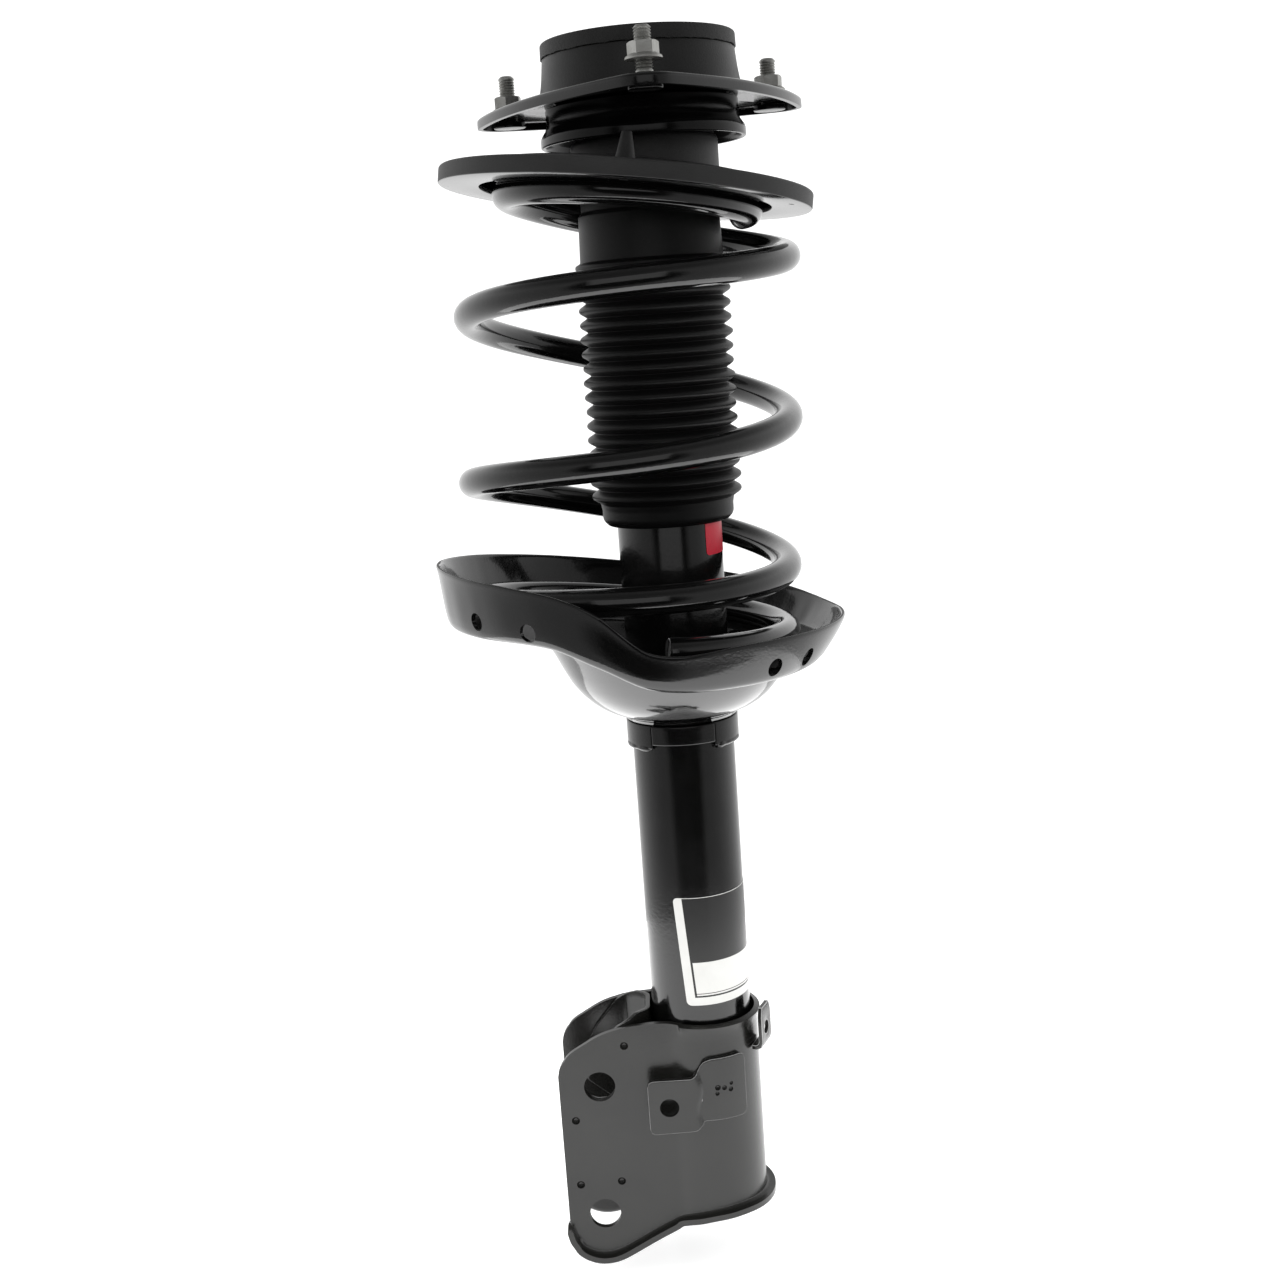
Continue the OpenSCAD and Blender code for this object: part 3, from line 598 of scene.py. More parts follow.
def upper_seat():
    """The tilted disc on its dome, the plug that stands on it and the rubber pad under it."""
    skin, edge, past = 2.2, 2.4, 20
    disc = turned([(DOME_R - 4, STEP_H, 0), (STEP_R, STEP_H, 1.6), (STEP_R + 1.2, 0, 1.6), (SEAT_R, 0, 1.6),
                   (SEAT_R, -SEAT_RIM, 0.8), (HEM_R, -SEAT_RIM, 0.5), (HEM_R, skin - SEAT_RIM, 0.5),
                   (SEAT_R - edge, skin - SEAT_RIM, 0.5), (SEAT_R - edge, -skin, 1),
                   (STEP_R - 1.4, -skin, 0.8), (STEP_R - 2.4, STEP_H - skin, 0.8),
                   (DOME_R - 4, STEP_H - skin, 0)], 160)
    placed(disc, DISC)
    rod_hole, room_r, ceiling, foot = 7.1, DOME_R - DOME_T, DOME_TOP - DOME_T, DISC_AT.z - 4
    dome = turned([(rod_hole, DOME_TOP, 0), (DOME_R, DOME_TOP, 2.2), (DOME_R, foot, 0.6), (room_r, foot, 0.4),
                   (room_r, ceiling, 1.6), (rod_hole, ceiling, 0)], 128)
    room = turned([(0, -60, 0), (room_r, -60, 0), (room_r, ceiling, 1.6), (0, ceiling, 0)], 128)
    bm = joined(joined(disc, dome, "UNION"), room)
    for x, y, r in ((*PLUG_AT, 2), (77, -26, 1.3)):
        bm = joined(bm, placed(rod(r, -past, past, 24), DISC @ Matrix.Translation((x, y, 0))))
    obj = made(bm, "upper_seat_pressing", ROD, [seat_coat, gloss_paint],
               "upper_spring_seat", 30)
    # The underside keeps the gloss of the paint; the coating covers the top and the rim
    down = DISC.to_3x3() @ Vector((0, 0, -1))
    for face in obj.data.polygons:
        near_axis = math.hypot(face.center.x, face.center.y) < (DOME_R + 0.5) * MM
        if face.normal.dot(down) > 0.6 and not near_axis:
            face.material_index = 1
    at_plug = DISC @ Matrix.Translation((*PLUG_AT, 0))
    plug = placed(turned([(0, 0.05, 0), (4.6, 0.05, 0.4), (4.4, 1.2, 0.3), (2.2, 12.5, 0.5),
                          (0, 12.5, 0)], 32), at_plug)
    stem = placed(turned([(0, -4.6, 0), (1.6, -4.6, 0.4), (2.6, -3.4, 0.2), (1.9, -2.3, 0.2), (1.9, 0.3, 0),
                          (0, 0.3, 0)], 24), at_plug)
    made(joined(plug, stem, "UNION"), "seat_locating_plug", ROD, mount_rubber,
         "upper_seat_plug")
    top = STEP_H - skin
    pad = turned([(DOME_R + 14, top, 0), (STEP_R - 2.6, top, 0), (STEP_R - 2.6, top - 3.2, 0.8),
                  (DOME_R + 14, top - 3.2, 0.8)], 128)
    made(placed(pad, DISC), "spring_isolator_pad", ROD, mount_rubber, "upper_isolator")


# ---------------------------------------------------------------- coil spring

PIGTAIL_R, COIL_R, WIRE_R = 57, 76.8, 6.75
# Turn of the wire, its radius and height there, and how much the coil dips along x and along y
SPRING_ROWS = (
    (-1.06, PIGTAIL_R, -47.7, 0.136, 0.04), (-0.8, PIGTAIL_R, -47.7, 0.136, 0.04),
    (-0.52, PIGTAIL_R + 0.5, -47.9, 0.136, 0.04), (-0.36, 61.5, -50, 0.136, 0.04),
    (-0.12, 72, -60, 0.134, 0.02), (0.15, COIL_R, -78, 0.115, 0), (0.6, COIL_R, -114, 0.102, 0),
    (1, COIL_R, -145, 0.1, 0), (1.5, COIL_R, -184.5, 0.105, 0.01), (2, COIL_R, -215.7, 0.12, 0.05),
    (2.2, COIL_R, -229, 0.12, 0.06), (2.45, COIL_R, -240.6, 0.12, 0.06), (2.7, COIL_R, -244.8, 0.12, 0.06),
    (3, COIL_R, -248.6, 0.12, 0.06), (3.2, COIL_R, -253.5, 0.12, 0.06))
SPRING_ZERO, SPRING_X, SPRING_LEAN, SPRING_LEAN_Z = -4.8, -12.4, 0.06, -95
# The spring works between these turns; the coils beyond them rest on their seats
WORKS_FROM, WORKS_TO = -0.2, 2.55


def wire_point(t):
    """The middle of the wire after t turns."""
    a = rad(SPRING_ZERO - 360 * t)
    r, z = along(SPRING_ROWS, t, 1), along(SPRING_ROWS, t, 2)
    dx, dy = r * math.cos(a), r * math.sin(a)
    return Vector((SPRING_X + SPRING_LEAN * (z - SPRING_LEAN_Z) + dx, dy,
                   z - along(SPRING_ROWS, t, 3) * dx - along(SPRING_ROWS, t, 4) * dy))


def wire_frame(t):
    """Places a circle drawn in the XY plane across the wire."""
    first, last = SPRING_ROWS[0][0], SPRING_ROWS[-1][0]
    ahead = (wire_point(min(t + 0.004, last)) - wire_point(max(t - 0.004, first))).normalized()
    out = ahead.cross(Vector((0, 0, 1))).normalized()
    up = out.cross(ahead)
    return Matrix.Translation(wire_point(t)) @ Matrix((out, up, ahead)).transposed().to_4x4()


def coil_spring():
    """A circle of wire drawn ring by ring along its turns."""
    sides, per_turn = 28, 56
    first, last = SPRING_ROWS[0][0], SPRING_ROWS[-1][0]
    rings = round((last - first) * per_turn)
    bm = bmesh.new()
    share = bm.verts.layers.float.new("share")
    bmesh.ops.create_circle(bm, cap_ends=True, segments=sides, radius=WIRE_R)
    here = wire_frame(first)
    bmesh.ops.transform(bm, matrix=here, verts=bm.verts[:])
    edges = bm.edges[:]
    for i in range(1, rings + 1):
        t = first + (last - first) * i / rings
        there = wire_frame(t)
        grown = bmesh.ops.extrude_edge_only(bm, edges=edges)["geom"]
        fresh, edges = verts_of(grown), edges_of(grown)
        bmesh.ops.transform(bm, matrix=there @ here.inverted(), verts=fresh)
        u = min(max((t - WORKS_FROM) / (WORKS_TO - WORKS_FROM), 0), 1)
        for v in fresh:
            v[share] = u
        here = there
    bmesh.ops.contextual_create(bm, geom=edges)
    rims = [e for e in bm.edges if len(e.link_faces) == 2 and e.calc_face_angle(0) > rad(70)]
    bmesh.ops.bevel(bm, geom=rims, offset=0.8, segments=3, profile=0.5, affect="EDGES", material=-1)
    obj = made(bm, "coil_spring_wire", None, spring_paint, "coil_spring", 40)
    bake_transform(obj)
    # The share of the travel given to each ring of the wire is taken off the mesh again
    obj.data.attributes.remove(obj.data.attributes["share"])


# ---------------------------------------------------------------- dust boot and rod parts

FOLDS, FOLDS_TOP, FOLDS_LOW = 16, -79.1, -189
FOLD_R, VALLEY_R, BOOT_LOW, COLLAR_R = 38.3, 32.8, -200, 32.2


def dust_boot():
    """The rubber boot: a plain neck, a row of folds and a collar."""
    neck, wall = 32.1, 1.6
    pitch = (FOLDS_TOP - FOLDS_LOW) / FOLDS
    outer = [(neck, -28, 0.3), (neck, -51, 0.5), (33.6, -52.4, 0.5), (34.3, -74, 0.6), (36.8, -75.2, 0.8),
             (36.8, -77.2, 0.8), (VALLEY_R, FOLDS_TOP, 0.8)]
    for i in range(FOLDS):
        grow = 0.25 * math.sin(i * 1.9)
        outer += [(FOLD_R + grow, FOLDS_TOP - pitch * (i + 0.5), 3.1),
                  (VALLEY_R, FOLDS_TOP - pitch * (i + 1), 0.5)]
    outer += [(COLLAR_R + 0.4, FOLDS_LOW - 1.4, 0.8), (COLLAR_R, FOLDS_LOW - 3, 0.8),
              (COLLAR_R, BOOT_LOW + 2.6, 1.6), (COLLAR_R - 2.6, BOOT_LOW, 0.5)]
    inner = [(r - wall, z, q * 0.6) for r, z, q in reversed(outer)]
    boot = turned(outer + inner, 104, 5)
    made(boot, "boot_bellows", ROD, boot_rubber, "dust_boot", 50)


def bump_stop():
    """The foam stop under the dome, waisted twice."""
    low, top, inside = -99, DOME_TOP - DOME_T, 11.3
    stop = turned([(inside, top, 0), (21, top, 1), (22, -50, 4), (18.6, -58, 1.6), (22, -66, 3.4),
                   (17.8, -76, 1.6), (20, -84, 3), (15, low, 1.6), (inside, low, 1)], 80)
    made(stop, "bump_stop_foam", ROD, foam, "bump_stop", 50)


# ---------------------------------------------------------------- damper tube, label and sticker

TUBE_R, TUBE_WALL, TUBE_TOP, TUBE_LOW, CAP_HOLE = 25.5, 2.2, -186, -552, 14
# One degree round the tube, in millimetres
DEGREE = TUBE_R * math.pi / 180


def damper_tube():
    """The tube, the cap that closes its top round the rod and its pressed bottom."""
    tube = turned([(TUBE_R - TUBE_WALL, TUBE_TOP, 0), (TUBE_R, TUBE_TOP, 0.8), (TUBE_R, TUBE_LOW, 0.4),
                   (TUBE_R - TUBE_WALL, TUBE_LOW, 0)], 128)
    made(tube, "damper_tube", STRUT, tube_paint, "outer_tube")
    top = TUBE_TOP + 1.5
    cap = turned([(CAP_HOLE, TUBE_TOP, 0), (TUBE_R, TUBE_TOP, 0), (TUBE_R, top, 1.1),
                  (CAP_HOLE, top, 0.4)], 96)
    made(cap, "tube_end_cap", STRUT, tube_paint, "tube_cap")
    low = TUBE_LOW - 4
    bottom = turned([(0, TUBE_LOW, 0), (TUBE_R, TUBE_LOW, 0.3), (TUBE_R, low, 1.5), (18, low, 1.5),
                     (15, low + 1.4, 2), (0, low + 1.4, 0)], 96)
    made(bottom, "tube_bottom_disc", STRUT, tube_paint, "bottom_cap")


def film(name, outline, corner, thickness, material, replaced):
    """A thin film cut flat to an outline of (degrees, height), its corners rounded, and wrapped round."""
    bm = bmesh.new()
    corners = [bm.verts.new((a * DEGREE, 0, z)) for a, z in outline]
    left = min(v.co.x for v in corners)
    right = max(v.co.x for v in corners)
    bottom = min(v.co.z for v in corners)
    skew = (corners[0].co.x - corners[3].co.x) / (corners[0].co.z - corners[3].co.z)
    origin = corners[3].co.copy()
    bm.faces.new(corners)
    for v in corners:
        bmesh.ops.bevel(bm, geom=[v], offset=corner, segments=5, profile=0.5, affect="VERTICES", material=-1)
    step = 1.2
    x = left + step
    while x < right:
        bmesh.ops.bisect_plane(bm, geom=bm.verts[:] + bm.edges[:] + bm.faces[:], plane_co=(x, 0, 0),
                               plane_no=(1, 0, 0))
        x += step
    bm = raised(bm, (0, thickness, 0))
    uv = bm.loops.layers.uv.new("Print")
    for face in bm.faces:
        for loop in face.loops:
            co = loop.vert.co
            loop[uv].uv = (co.x - origin.x - skew * (co.z - origin.z), co.z - bottom)
    for v in bm.verts:
        a, r = v.co.x / TUBE_R, TUBE_R + 0.02 + v.co.y
        v.co = (r * math.cos(a), r * math.sin(a), v.co.z)
    made(bm, name, STRUT, material, replaced, 50)


def films():
    """The printed label, stuck on askew, and the small sticker near the top of the tube."""
    thickness, wide, askew = 0.2, 144, 9
    left, top, low = -115, -386.5, -443.5
    outline = [(left, top), (left + wide, top), (left + wide + askew, low), (left + askew, low)]
    film("printed_label", outline, 2.4, thickness, label_material(wide * DEGREE, top - low),
         "tube_label")
    left, right, top, low = -48, 10, -190, -216
    film("round_cornered_sticker", [(left, top), (right, top), (right, low), (left, low)], 2, thickness,
         sticker_film, "tube_sticker")


# ---------------------------------------------------------------- lower spring seat

# Azimuth, height of the rim, of the wall's foot and of the flat the coil rests on, and radius at the foot
DISH_ROWS = (
    (-20, -249, -269.6, -264.5, 88), (20, -250, -269.2, -265.1, 88), (45, -245, -268.6, -264.4, 88.5),
    (90, -234, -264, -259.2, 90), (125, -223.5, -254, -251.5, 91), (155, -216, -247, -246.5, 92.5),
    (185, -212.5, -243.8, -242, 94), (215, -213.5, -243, -241.5, 94.5), (243, -218, -244.4, -243.6, 95),
    (258, -227, -253.6, -251.2, 95.5), (273, -247, -265.2, -261.4, 95), (300, -247.5, -269, -264, 92),
    (340, -249, -269.6, -264.5, 88))
DISH_R, DISH_OFF, DISH_T = 100, 16, 2.6
HUB_R, HUB_LOW, SHELF_R, DRAIN_R = 25.6, -297.6, 79.5, 4.3
# Azimuth and height of each drain hole
DRAINS = ((-172, -235.5), (-141, -233.5), (-121.3, -236.5), (-51, -261.5), (-36, -261.5))


def dish_section(a):
    """Section in one direction: radius, height, and how far that ring's centre stands off the axis."""
    t = a - 360 if a > 340 else a
    o, d = DISH_OFF, DISH_T
    rim, foot, flat, wall = (along(DISH_ROWS, t, c) for c in (1, 2, 3, 4))
    bowl = (flat - 803) / 4
    # The pressing ripples where the wall was drawn deepest
    deep = max(math.exp(-((a - 200) / 60) ** 2), math.exp(-((t - 15) / 45) ** 2))
    where = Vector((math.cos(rad(a)), math.sin(rad(a)), 0))
    ripple = deep * (1.1 * noise.noise(where * 5.5) + 0.9 * noise.noise(where * 11 + Vector((3, 0, 0))))
    low = 0.5 * (rim + foot)
    middle = (wall + DISH_R) / 2
    return [(DISH_R, rim - 0.5, o), (DISH_R - 0.9, rim - 3, o), (middle + 1 + ripple * 0.5, low, o),
            (wall + 2.7 + ripple * 0.3, foot + 4, o), (wall + 0.6, foot + 0.9, o), (wall - 3, foot + 0.1, o),
            (80, flat - d - 0.6, o), (66, flat - d - 0.6, o * 0.85), (60.4, flat - d - 1.4, o * 0.6),
            (57.6, bowl - 1, 3), (53.6, -276.8, 1), (45.4, -286.8, 0), (37, -292.4, 0), (29.4, -294.9, 0),
            (28.2, -296, 0), (28.2, HUB_LOW, 0), (HUB_R, HUB_LOW, 0), (HUB_R, -292.9, 0), (35.8, -290, 0),
            (43.2, -284.8, 0), (51, -275.2, 1), (55, bowl + 0.6, 3), (58.6, flat - 0.6, o * 0.6),
            (64, flat, o * 0.85), (wall - 9, flat, o), (wall - 5, flat + 0.2, o), (wall - 0.8, flat + 1.8, o),
            (wall + 1, foot + 6, o), (middle - 1.6 + ripple, low, o),
            (DISH_R - DISH_T - 0.6 + ripple * 0.5, rim - 3, o),
            (DISH_R - DISH_T + 0.3, rim - 0.3, o), (DISH_R - DISH_T + 0.8, rim + 0.15 + ripple * 0.25, o),
            (DISH_R - 0.5, rim + 0.1 + ripple * 0.25, o)]


def lower_seat():
    """The dish that carries the coil, its high and low sides following the wire."""
    columns = 180
    count = len(dish_section(0))

    def place(u, v):
        a = 360 * u
        section = dish_section(a % 360)
        r, z, off = section[round(v * count) % count]
        return Vector((r * math.cos(rad(a)) - off, r * math.sin(rad(a)), z))

    bm = shaped_grid(columns, count, place)
    bmesh.ops.remove_doubles(bm, verts=bm.verts[:], dist=0.01)
    bmesh.ops.recalc_face_normals(bm, faces=bm.faces[:])
    bm = worked(bm, ("SUBSURF", {"levels": 1, "render_levels": 1}))
    for azimuth, height in DRAINS:
        drain = placed(rod(DRAIN_R, DISH_R - 16, DISH_R + 8, 32), Matrix.Translation((-DISH_OFF, 0, height))
                       @ Matrix.Rotation(rad(azimuth), 4, "Z") @ Matrix.Rotation(rad(90), 4, "Y"))
        bm = joined(bm, drain)
    obj = made(bm, "lower_seat_pressing", STRUT, [gloss_paint, bowl_paint, seat_coat],
               "lower_spring_seat", 50)
    # The underside shines more than the wall, and the flats inside are dull where the coil rubs
    for face in obj.data.polygons:
        inside = math.hypot(face.center.x + DISH_OFF * MM, face.center.y) < SHELF_R * MM
        if inside and face.normal.z < -0.1:
            face.material_index = 1
        elif face.normal.z > 0.9:
            face.material_index = 2
    step = obj.modifiers.new("eased hole edges", "BEVEL")
    step.width, step.segments, step.limit_method, step.angle_limit = 0.5 * MM, 2, "ANGLE", rad(55)


def support_ring():
    """Six sheet tabs round the tube: the front one stands proud and the others are welded to it."""
    tabs, top, low, short = 6, HUB_LOW - 0.2, -309.6, -307.2
    parts = []

    def place(start, end, inner, outer, bottom):
        def put(u, v):
            a = rad(start + (end - start) * u)
            return Vector((math.cos(a) * outer, math.sin(a) * outer, bottom + (top - bottom) * v))
        return eased(thick(shaped_grid(24, 4, put), outer - inner), 0.55, 4, 50)

    for i in range(tabs):
        middle = 360 / tabs * i - 90
        proud = i == 0
        half = 32.5 if proud else 28.8 if i in (2, 3, 4) else 26
        parts.append(place(middle - half, middle + half, HUB_R + 0.1, HUB_R + (3.6 if proud else 2.5),
                           short if proud else low))
        if not proud:
            parts.append(weld(middle - 24, middle + 24, low))
    sleeve = HUB_R + 1.6
    parts.append(turned([(HUB_R, low + 4, 0), (sleeve, low + 4, 0.3), (sleeve, top, 0), (HUB_R, top, 0)], 96))
    made(merged(*parts), "seat_support_collar", STRUT, tube_paint, "seat_support_ring",
         36, recalc=False)


def weld(start, end, height):
    """A weld laid in small overlapping pools along part of the tube."""
    steps, sides, bead_r, line_r = 72, 12, 1.5, HUB_R + 1.3
    bead = bmesh.new()
    bmesh.ops.create_circle(bead, cap_ends=True, segments=sides, radius=bead_r)
    bmesh.ops.rotate(bead, verts=bead.verts[:], cent=(0, 0, 0), matrix=Matrix.Rotation(rad(90), 3, "X"))
    bmesh.ops.translate(bead, verts=bead.verts[:], vec=(line_r, 0, height))
    bmesh.ops.rotate(bead, verts=bead.verts[:], cent=(0, 0, 0), matrix=Matrix.Rotation(rad(start), 3, "Z"))
    edges = bead.edges[:]
    for _ in range(steps):
        grown = bmesh.ops.extrude_edge_only(bead, edges=edges)["geom"]
        edges = edges_of(grown)
        bmesh.ops.rotate(bead, verts=verts_of(grown), cent=(0, 0, 0),
                         matrix=Matrix.Rotation(rad((end - start) / steps), 3, "Z"))
    bmesh.ops.contextual_create(bead, geom=edges)
    bmesh.ops.recalc_face_normals(bead, faces=bead.faces[:])
    for v in bead.verts:
        a = math.atan2(v.co.y, v.co.x)
        along_bead = math.degrees(a) % 360 - start % 360
        ends = min(1, 0.35 + abs(min(along_bead % 360, (end - start) - along_bead % 360)) / 6)
        pool = 0.15 * abs(math.sin(a * 17)) + 0.6 * noise.noise(Vector((math.cos(a), math.sin(a), 0)) * 6)
        middle = Vector((math.cos(a), math.sin(a), 0)) * line_r + Vector((0, 0, height))
        v.co = middle + (v.co - middle) * ends * (1 + pool * 0.45)
    return bead


# ---------------------------------------------------------------- knuckle bracket

EAR_T, EAR_Y, EAR_REACH, NECK_X, LIP_W = 3, 23, 75.6, -17, 5
WRAP_IN = TUBE_R + 0.1
WRAP_MID, WRAP_OUT = WRAP_IN + EAR_T / 2, WRAP_IN + EAR_T
UPPER_BOLT, LOWER_BOLT = (-54.7, -485.5), (-56.8, -556)
BOLT_R = 8
# Heights of the sheet's upper and lower edges along x
EAR_TOP = ((-75.6, -479), (-74.6, -473.5), (-70.9, -467.8), (-53, -457.5), (-40, -454), (-25, -453),
           (36, -455))
EAR_LOW = ((-75.6, -565), (-74, -572.5), (-70, -578), (-62, -581.8), (-55, -582), (-49, -580.4),
           (-40, -575.6), (-32, -571.2), (-23, -566.6), (-12, -561.8), (0, -558.5), (14, -557.4), (36, -559))


def wrap_path():
    """Plan of the bent sheet's middle, from the far ear's edge round the tube to the near ear's edge."""
    ear = EAR_Y - EAR_T / 2
    meet = math.degrees(math.atan2(ear, -math.sqrt(WRAP_MID ** 2 - ear ** 2)))
    flats = 44
    ear_long = EAR_REACH + WRAP_MID * math.cos(rad(meet))
    straight_x = [-EAR_REACH + ear_long * (i / flats) ** 1.25 for i in range(flats)]
    points = [Vector((x, ear, 0)) for x in straight_x]
    bends = 84
    points += [Vector((math.cos(rad(a)), math.sin(rad(a)), 0)) * WRAP_MID
               for a in (meet - 2 * meet * i / bends for i in range(bends + 1))]
    points += [Vector((x, -ear, 0)) for x in reversed(straight_x)]
    # The neck between ear and wrap is a soft bend
    for _ in range(5):
        points = [p if abs(p.x - NECK_X) > 9 or i in (0, len(points) - 1)
                  else (points[i - 1] + p * 2 + points[i + 1]) / 4 for i, p in enumerate(points)]
    return points


def bracket():
    """One sheet bent round the tube, with an ear at each end and a lip along its lower edge."""
    path = wrap_path()
    n = len(path) - 1
    outward = []
    for i, p in enumerate(path):
        d = (path[min(i + 1, n)] - path[max(i - 1, 0)]).normalized()
        outward.append(Vector((-d.y, d.x, 0)))
    if outward[n // 2].x < 0:
        outward = [-o for o in outward]
    flare, bend, bend_share = LIP_W + 1.2, 3.2, 0.625
    body_rows, lip_rows = 34, 8
    rows = body_rows + lip_rows

    def place(u, v):
        i = round(u * n)
        p, out = path[i], outward[i]
        top, low = softened(EAR_TOP, p.x, 4), softened(EAR_LOW, p.x, 3) + EAR_T / 2
        k = round(v * rows)
        if k <= body_rows:
            z = top + (low + bend - top) * k / body_rows
            # The wrap's top edge rolls outwards a little
            roll = 1.8 * max(0, 1 - (top - z) / 7) ** 2 * (1 if p.x > NECK_X + 6 else 0)
            return p + out * roll + Vector((0, 0, z))
        s = (k - body_rows) / lip_rows
        if s <= bend_share:
            turn = s / bend_share * math.pi / 2
            return p + out * bend * (1 - math.cos(turn)) + Vector((0, 0, low + bend - bend * math.sin(turn)))
        return p + out * (bend + (flare - bend) * (s - bend_share) / (1 - bend_share)) + Vector((0, 0, low))

    bm = shaped_grid(n, rows, place)
    bm.normal_update()
    middle = min(bm.faces, key=lambda f: (f.calc_center_median() - Vector((WRAP_MID, 0, -500))).length)
    if middle.normal.x < 0:
        bmesh.ops.reverse_faces(bm, faces=bm.faces[:])
    bm = thick(bm, EAR_T, 0)
    bm = joined(bm, block((-80.5, EAR_Y - EAR_T, -576), (-72.5, EAR_Y, -536)), "UNION")
    for x, z in (UPPER_BOLT, LOWER_BOLT):
        bm = joined(bm, bore(BOLT_R, x, z, 64))
    # Small locating dents pressed into the near ear, and into the far one
    dent_r = 2.1
    for x, z in ((-40.7, -464), (-68.3, -503.4), (-68.4, -539.2), (-47.1, -538.4)):
        for side in (-1, 1):
            bm = joined(bm, ball((x, side * (EAR_Y + 0.1), z), dent_r))
    made(eased(bm, 0.55, 3, 50), "knuckle_bracket_sheet", STRUT, satin_paint,
         "knuckle_bracket", 40)


def web():
    """The folded sheet between the ears, open towards the knuckle."""
    inside, sheet = EAR_Y - EAR_T - 0.15, 2.2
    half = inside - sheet / 2
    plan = [(-63.5, -half), (-39, -half), (-27.8, -9.3), (-27.8, 9.3), (-39, half), (-63.5, half)]
    dense = []
    for (x0, y0), (x1, y1) in zip(plan, plan[1:]):
        parts = 14
        dense += [Vector((x0 + (x1 - x0) * i / parts, y0 + (y1 - y0) * i / parts, 0)) for i in range(parts)]
    dense.append(Vector((*plan[-1], 0)))
    for _ in range(3):
        dense = [p if i in (0, len(dense) - 1) else (dense[i - 1] + p * 2 + dense[i + 1]) / 4
                 for i, p in enumerate(dense)]
    tops = ((-63.5, -482), (-57, -470), (-45, -455.5), (-34, -450), (-20, -450))
    lows = ((-63.5, -500), (-47, -514), (-45, -567), (-20, -568))
    n = len(dense) - 1

    def place(u, v):
        p = dense[round(u * n)]
        top, low = straight(tops, p.x), straight(lows, p.x)
        return p + Vector((0, 0, top + (low - top) * v))

    bm = thick(shaped_grid(n, 30, place), sheet, 0)
    bm = joined(bm, bore(BOLT_R + 0.2, *UPPER_BOLT))
    # The rounded edges take the pale painted edge highlight
    made(eased(bm, 0.4, 2, 50, 1), "bracket_web_sheet", STRUT, [satin_paint, painted_edge_highlight],
         "bracket_web", 40)


def hose_tab():
    """The hose bracket: a plain tab with a hole, and a curved one with small stamped dimples."""
    sheet, corner = 2.4, 3.2
    mid, flats, bends = WRAP_OUT + sheet / 2 + 0.15, 36, 40
    path = [Vector((-30 + 27 * i / flats, -mid, 0)) for i in range(flats)]
    path += [Vector((math.cos(rad(a)), math.sin(rad(a)), 0)) * mid
             for a in (-96 + 46 * i / bends for i in range(bends + 1))]
    n = len(path) - 1
    high = ((-30, -480), (-6.5, -480), (-2, -472.2), (2, -470.6), (24, -470.3))
    low = ((-30, -509), (-5.5, -508.4), (-2.5, -503.6), (24, -503.8))

    def place(u, v):
        p = path[round(u * n)]
        out = Vector((p.x, p.y, 0)).normalized() if p.x > -3 else Vector((0, -1, 0))
        # The corners at both ends are rounded
        from_end = min((p - path[0]).length, (p - path[-1]).length, corner)
        cut = corner - math.sqrt(corner ** 2 - (corner - from_end) ** 2)
        top, bottom = softened(high, p.x, 1.6) - cut, softened(low, p.x, 1.6) + cut
        z = bottom + (top - bottom) * v
        # The plain tab stands proud of the curved one, with a crooked fold between them
        crook = -4.2 + 1.3 * math.sin((z + 492) * 0.28)
        step = min(max((crook + 1.4 - p.x) / 2.8, 0), 1)
        return p + out * (1.5 * step * step * (3 - 2 * step)) + Vector((0, 0, z))

    # The rounded edges take the pale painted edge highlight
    bm = eased(thick(shaped_grid(n, 28, place), sheet, 0), 0.6, 3, 50, 1)
    bm = joined(bm, bore(4.9, -19.5, -494.7), paints=2)
    surface = mid + sheet / 2
    for x, z, r in ((5.6, -486.2, 1.5), (5.2, -489.4, 1.1), (9, -486.8, 1.3), (12.2, -488.2, 1.3),
                    (12.6, -485, 1)):
        y = -math.sqrt((surface + 0.1) ** 2 - x * x)
        bm = joined(bm, ball((x, y, z), r), paints=2)
    made(bm, "hose_bracket_tabs", STRUT, [satin_paint, painted_edge_highlight], "hose_bracket", 40)


def sensor_tab():
    """A strip bent up from the wrap's upper edge, with a hole for the lead's clip."""
    azimuth, wide, tip_in = -22, 14, 1.8
    strip = ((28.9, -471.6), (31.5, -471.6), (33.4, -470.8), (34.2, -468.6), (34.2, -462), (34.2, -455),
             (34.1, -450.2))
    n = len(strip) - 1

    def place(u, v):
        k = round(u * n)
        width = wide - (tip_in * 2 if k == n else 0)
        return Vector((strip[k][0], (v - 0.5) * width, strip[k][1]))

    bm = thick(shaped_grid(n, 10, place), 2.4, 0)
    hole = placed(rod(3.5, 20, 60, 40), Matrix.Translation((0, 0, -462.5)) @ Matrix.Rotation(rad(90), 4, "Y"))
    # The rounded edges take the pale painted edge highlight
    bm = eased(joined(bm, hole), 0.5, 2, 45, 1)
    made(placed(bm, around(azimuth)), "sensor_lead_tab", STRUT,
         [satin_paint, painted_edge_highlight], "sensor_bracket", 40)


# ---------------------------------------------------------------- build

mount_plate()
mount_body()
studs_and_nuts()
bearing_housing()
rod_hardware()
upper_seat()
coil_spring()
dust_boot()
bump_stop()
damper_tube()
films()
lower_seat()
support_ring()
bracket()
web()
hose_tab()
sensor_tab()

# Pieces whose CAD shape is already whole only need a finish
CARRIED = {
    "mount_inner_shell": steel, "bearing_upper_race": dark_steel, "bearing_balls": steel,
    "bearing_lower_race": dark_steel, "rod_sleeve": steel, "piston_rod": chrome, "rebound_stop": mount_rubber,
    "piston": sinter, "piston_band": band, "piston_nut": zinc, "rod_seal": mount_rubber, "rod_guide": sinter,
    "inner_cylinder": steel, "base_valve": sinter}
for name, material in CARRIED.items():
    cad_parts[name].data.materials.clear()
    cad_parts[name].data.materials.append(material)

# ---------------------------------------------------------------- studio

FLOOR_Z, TABLE_R = -0.592, 0.5
WHITE = (1, 1, 1, 1)


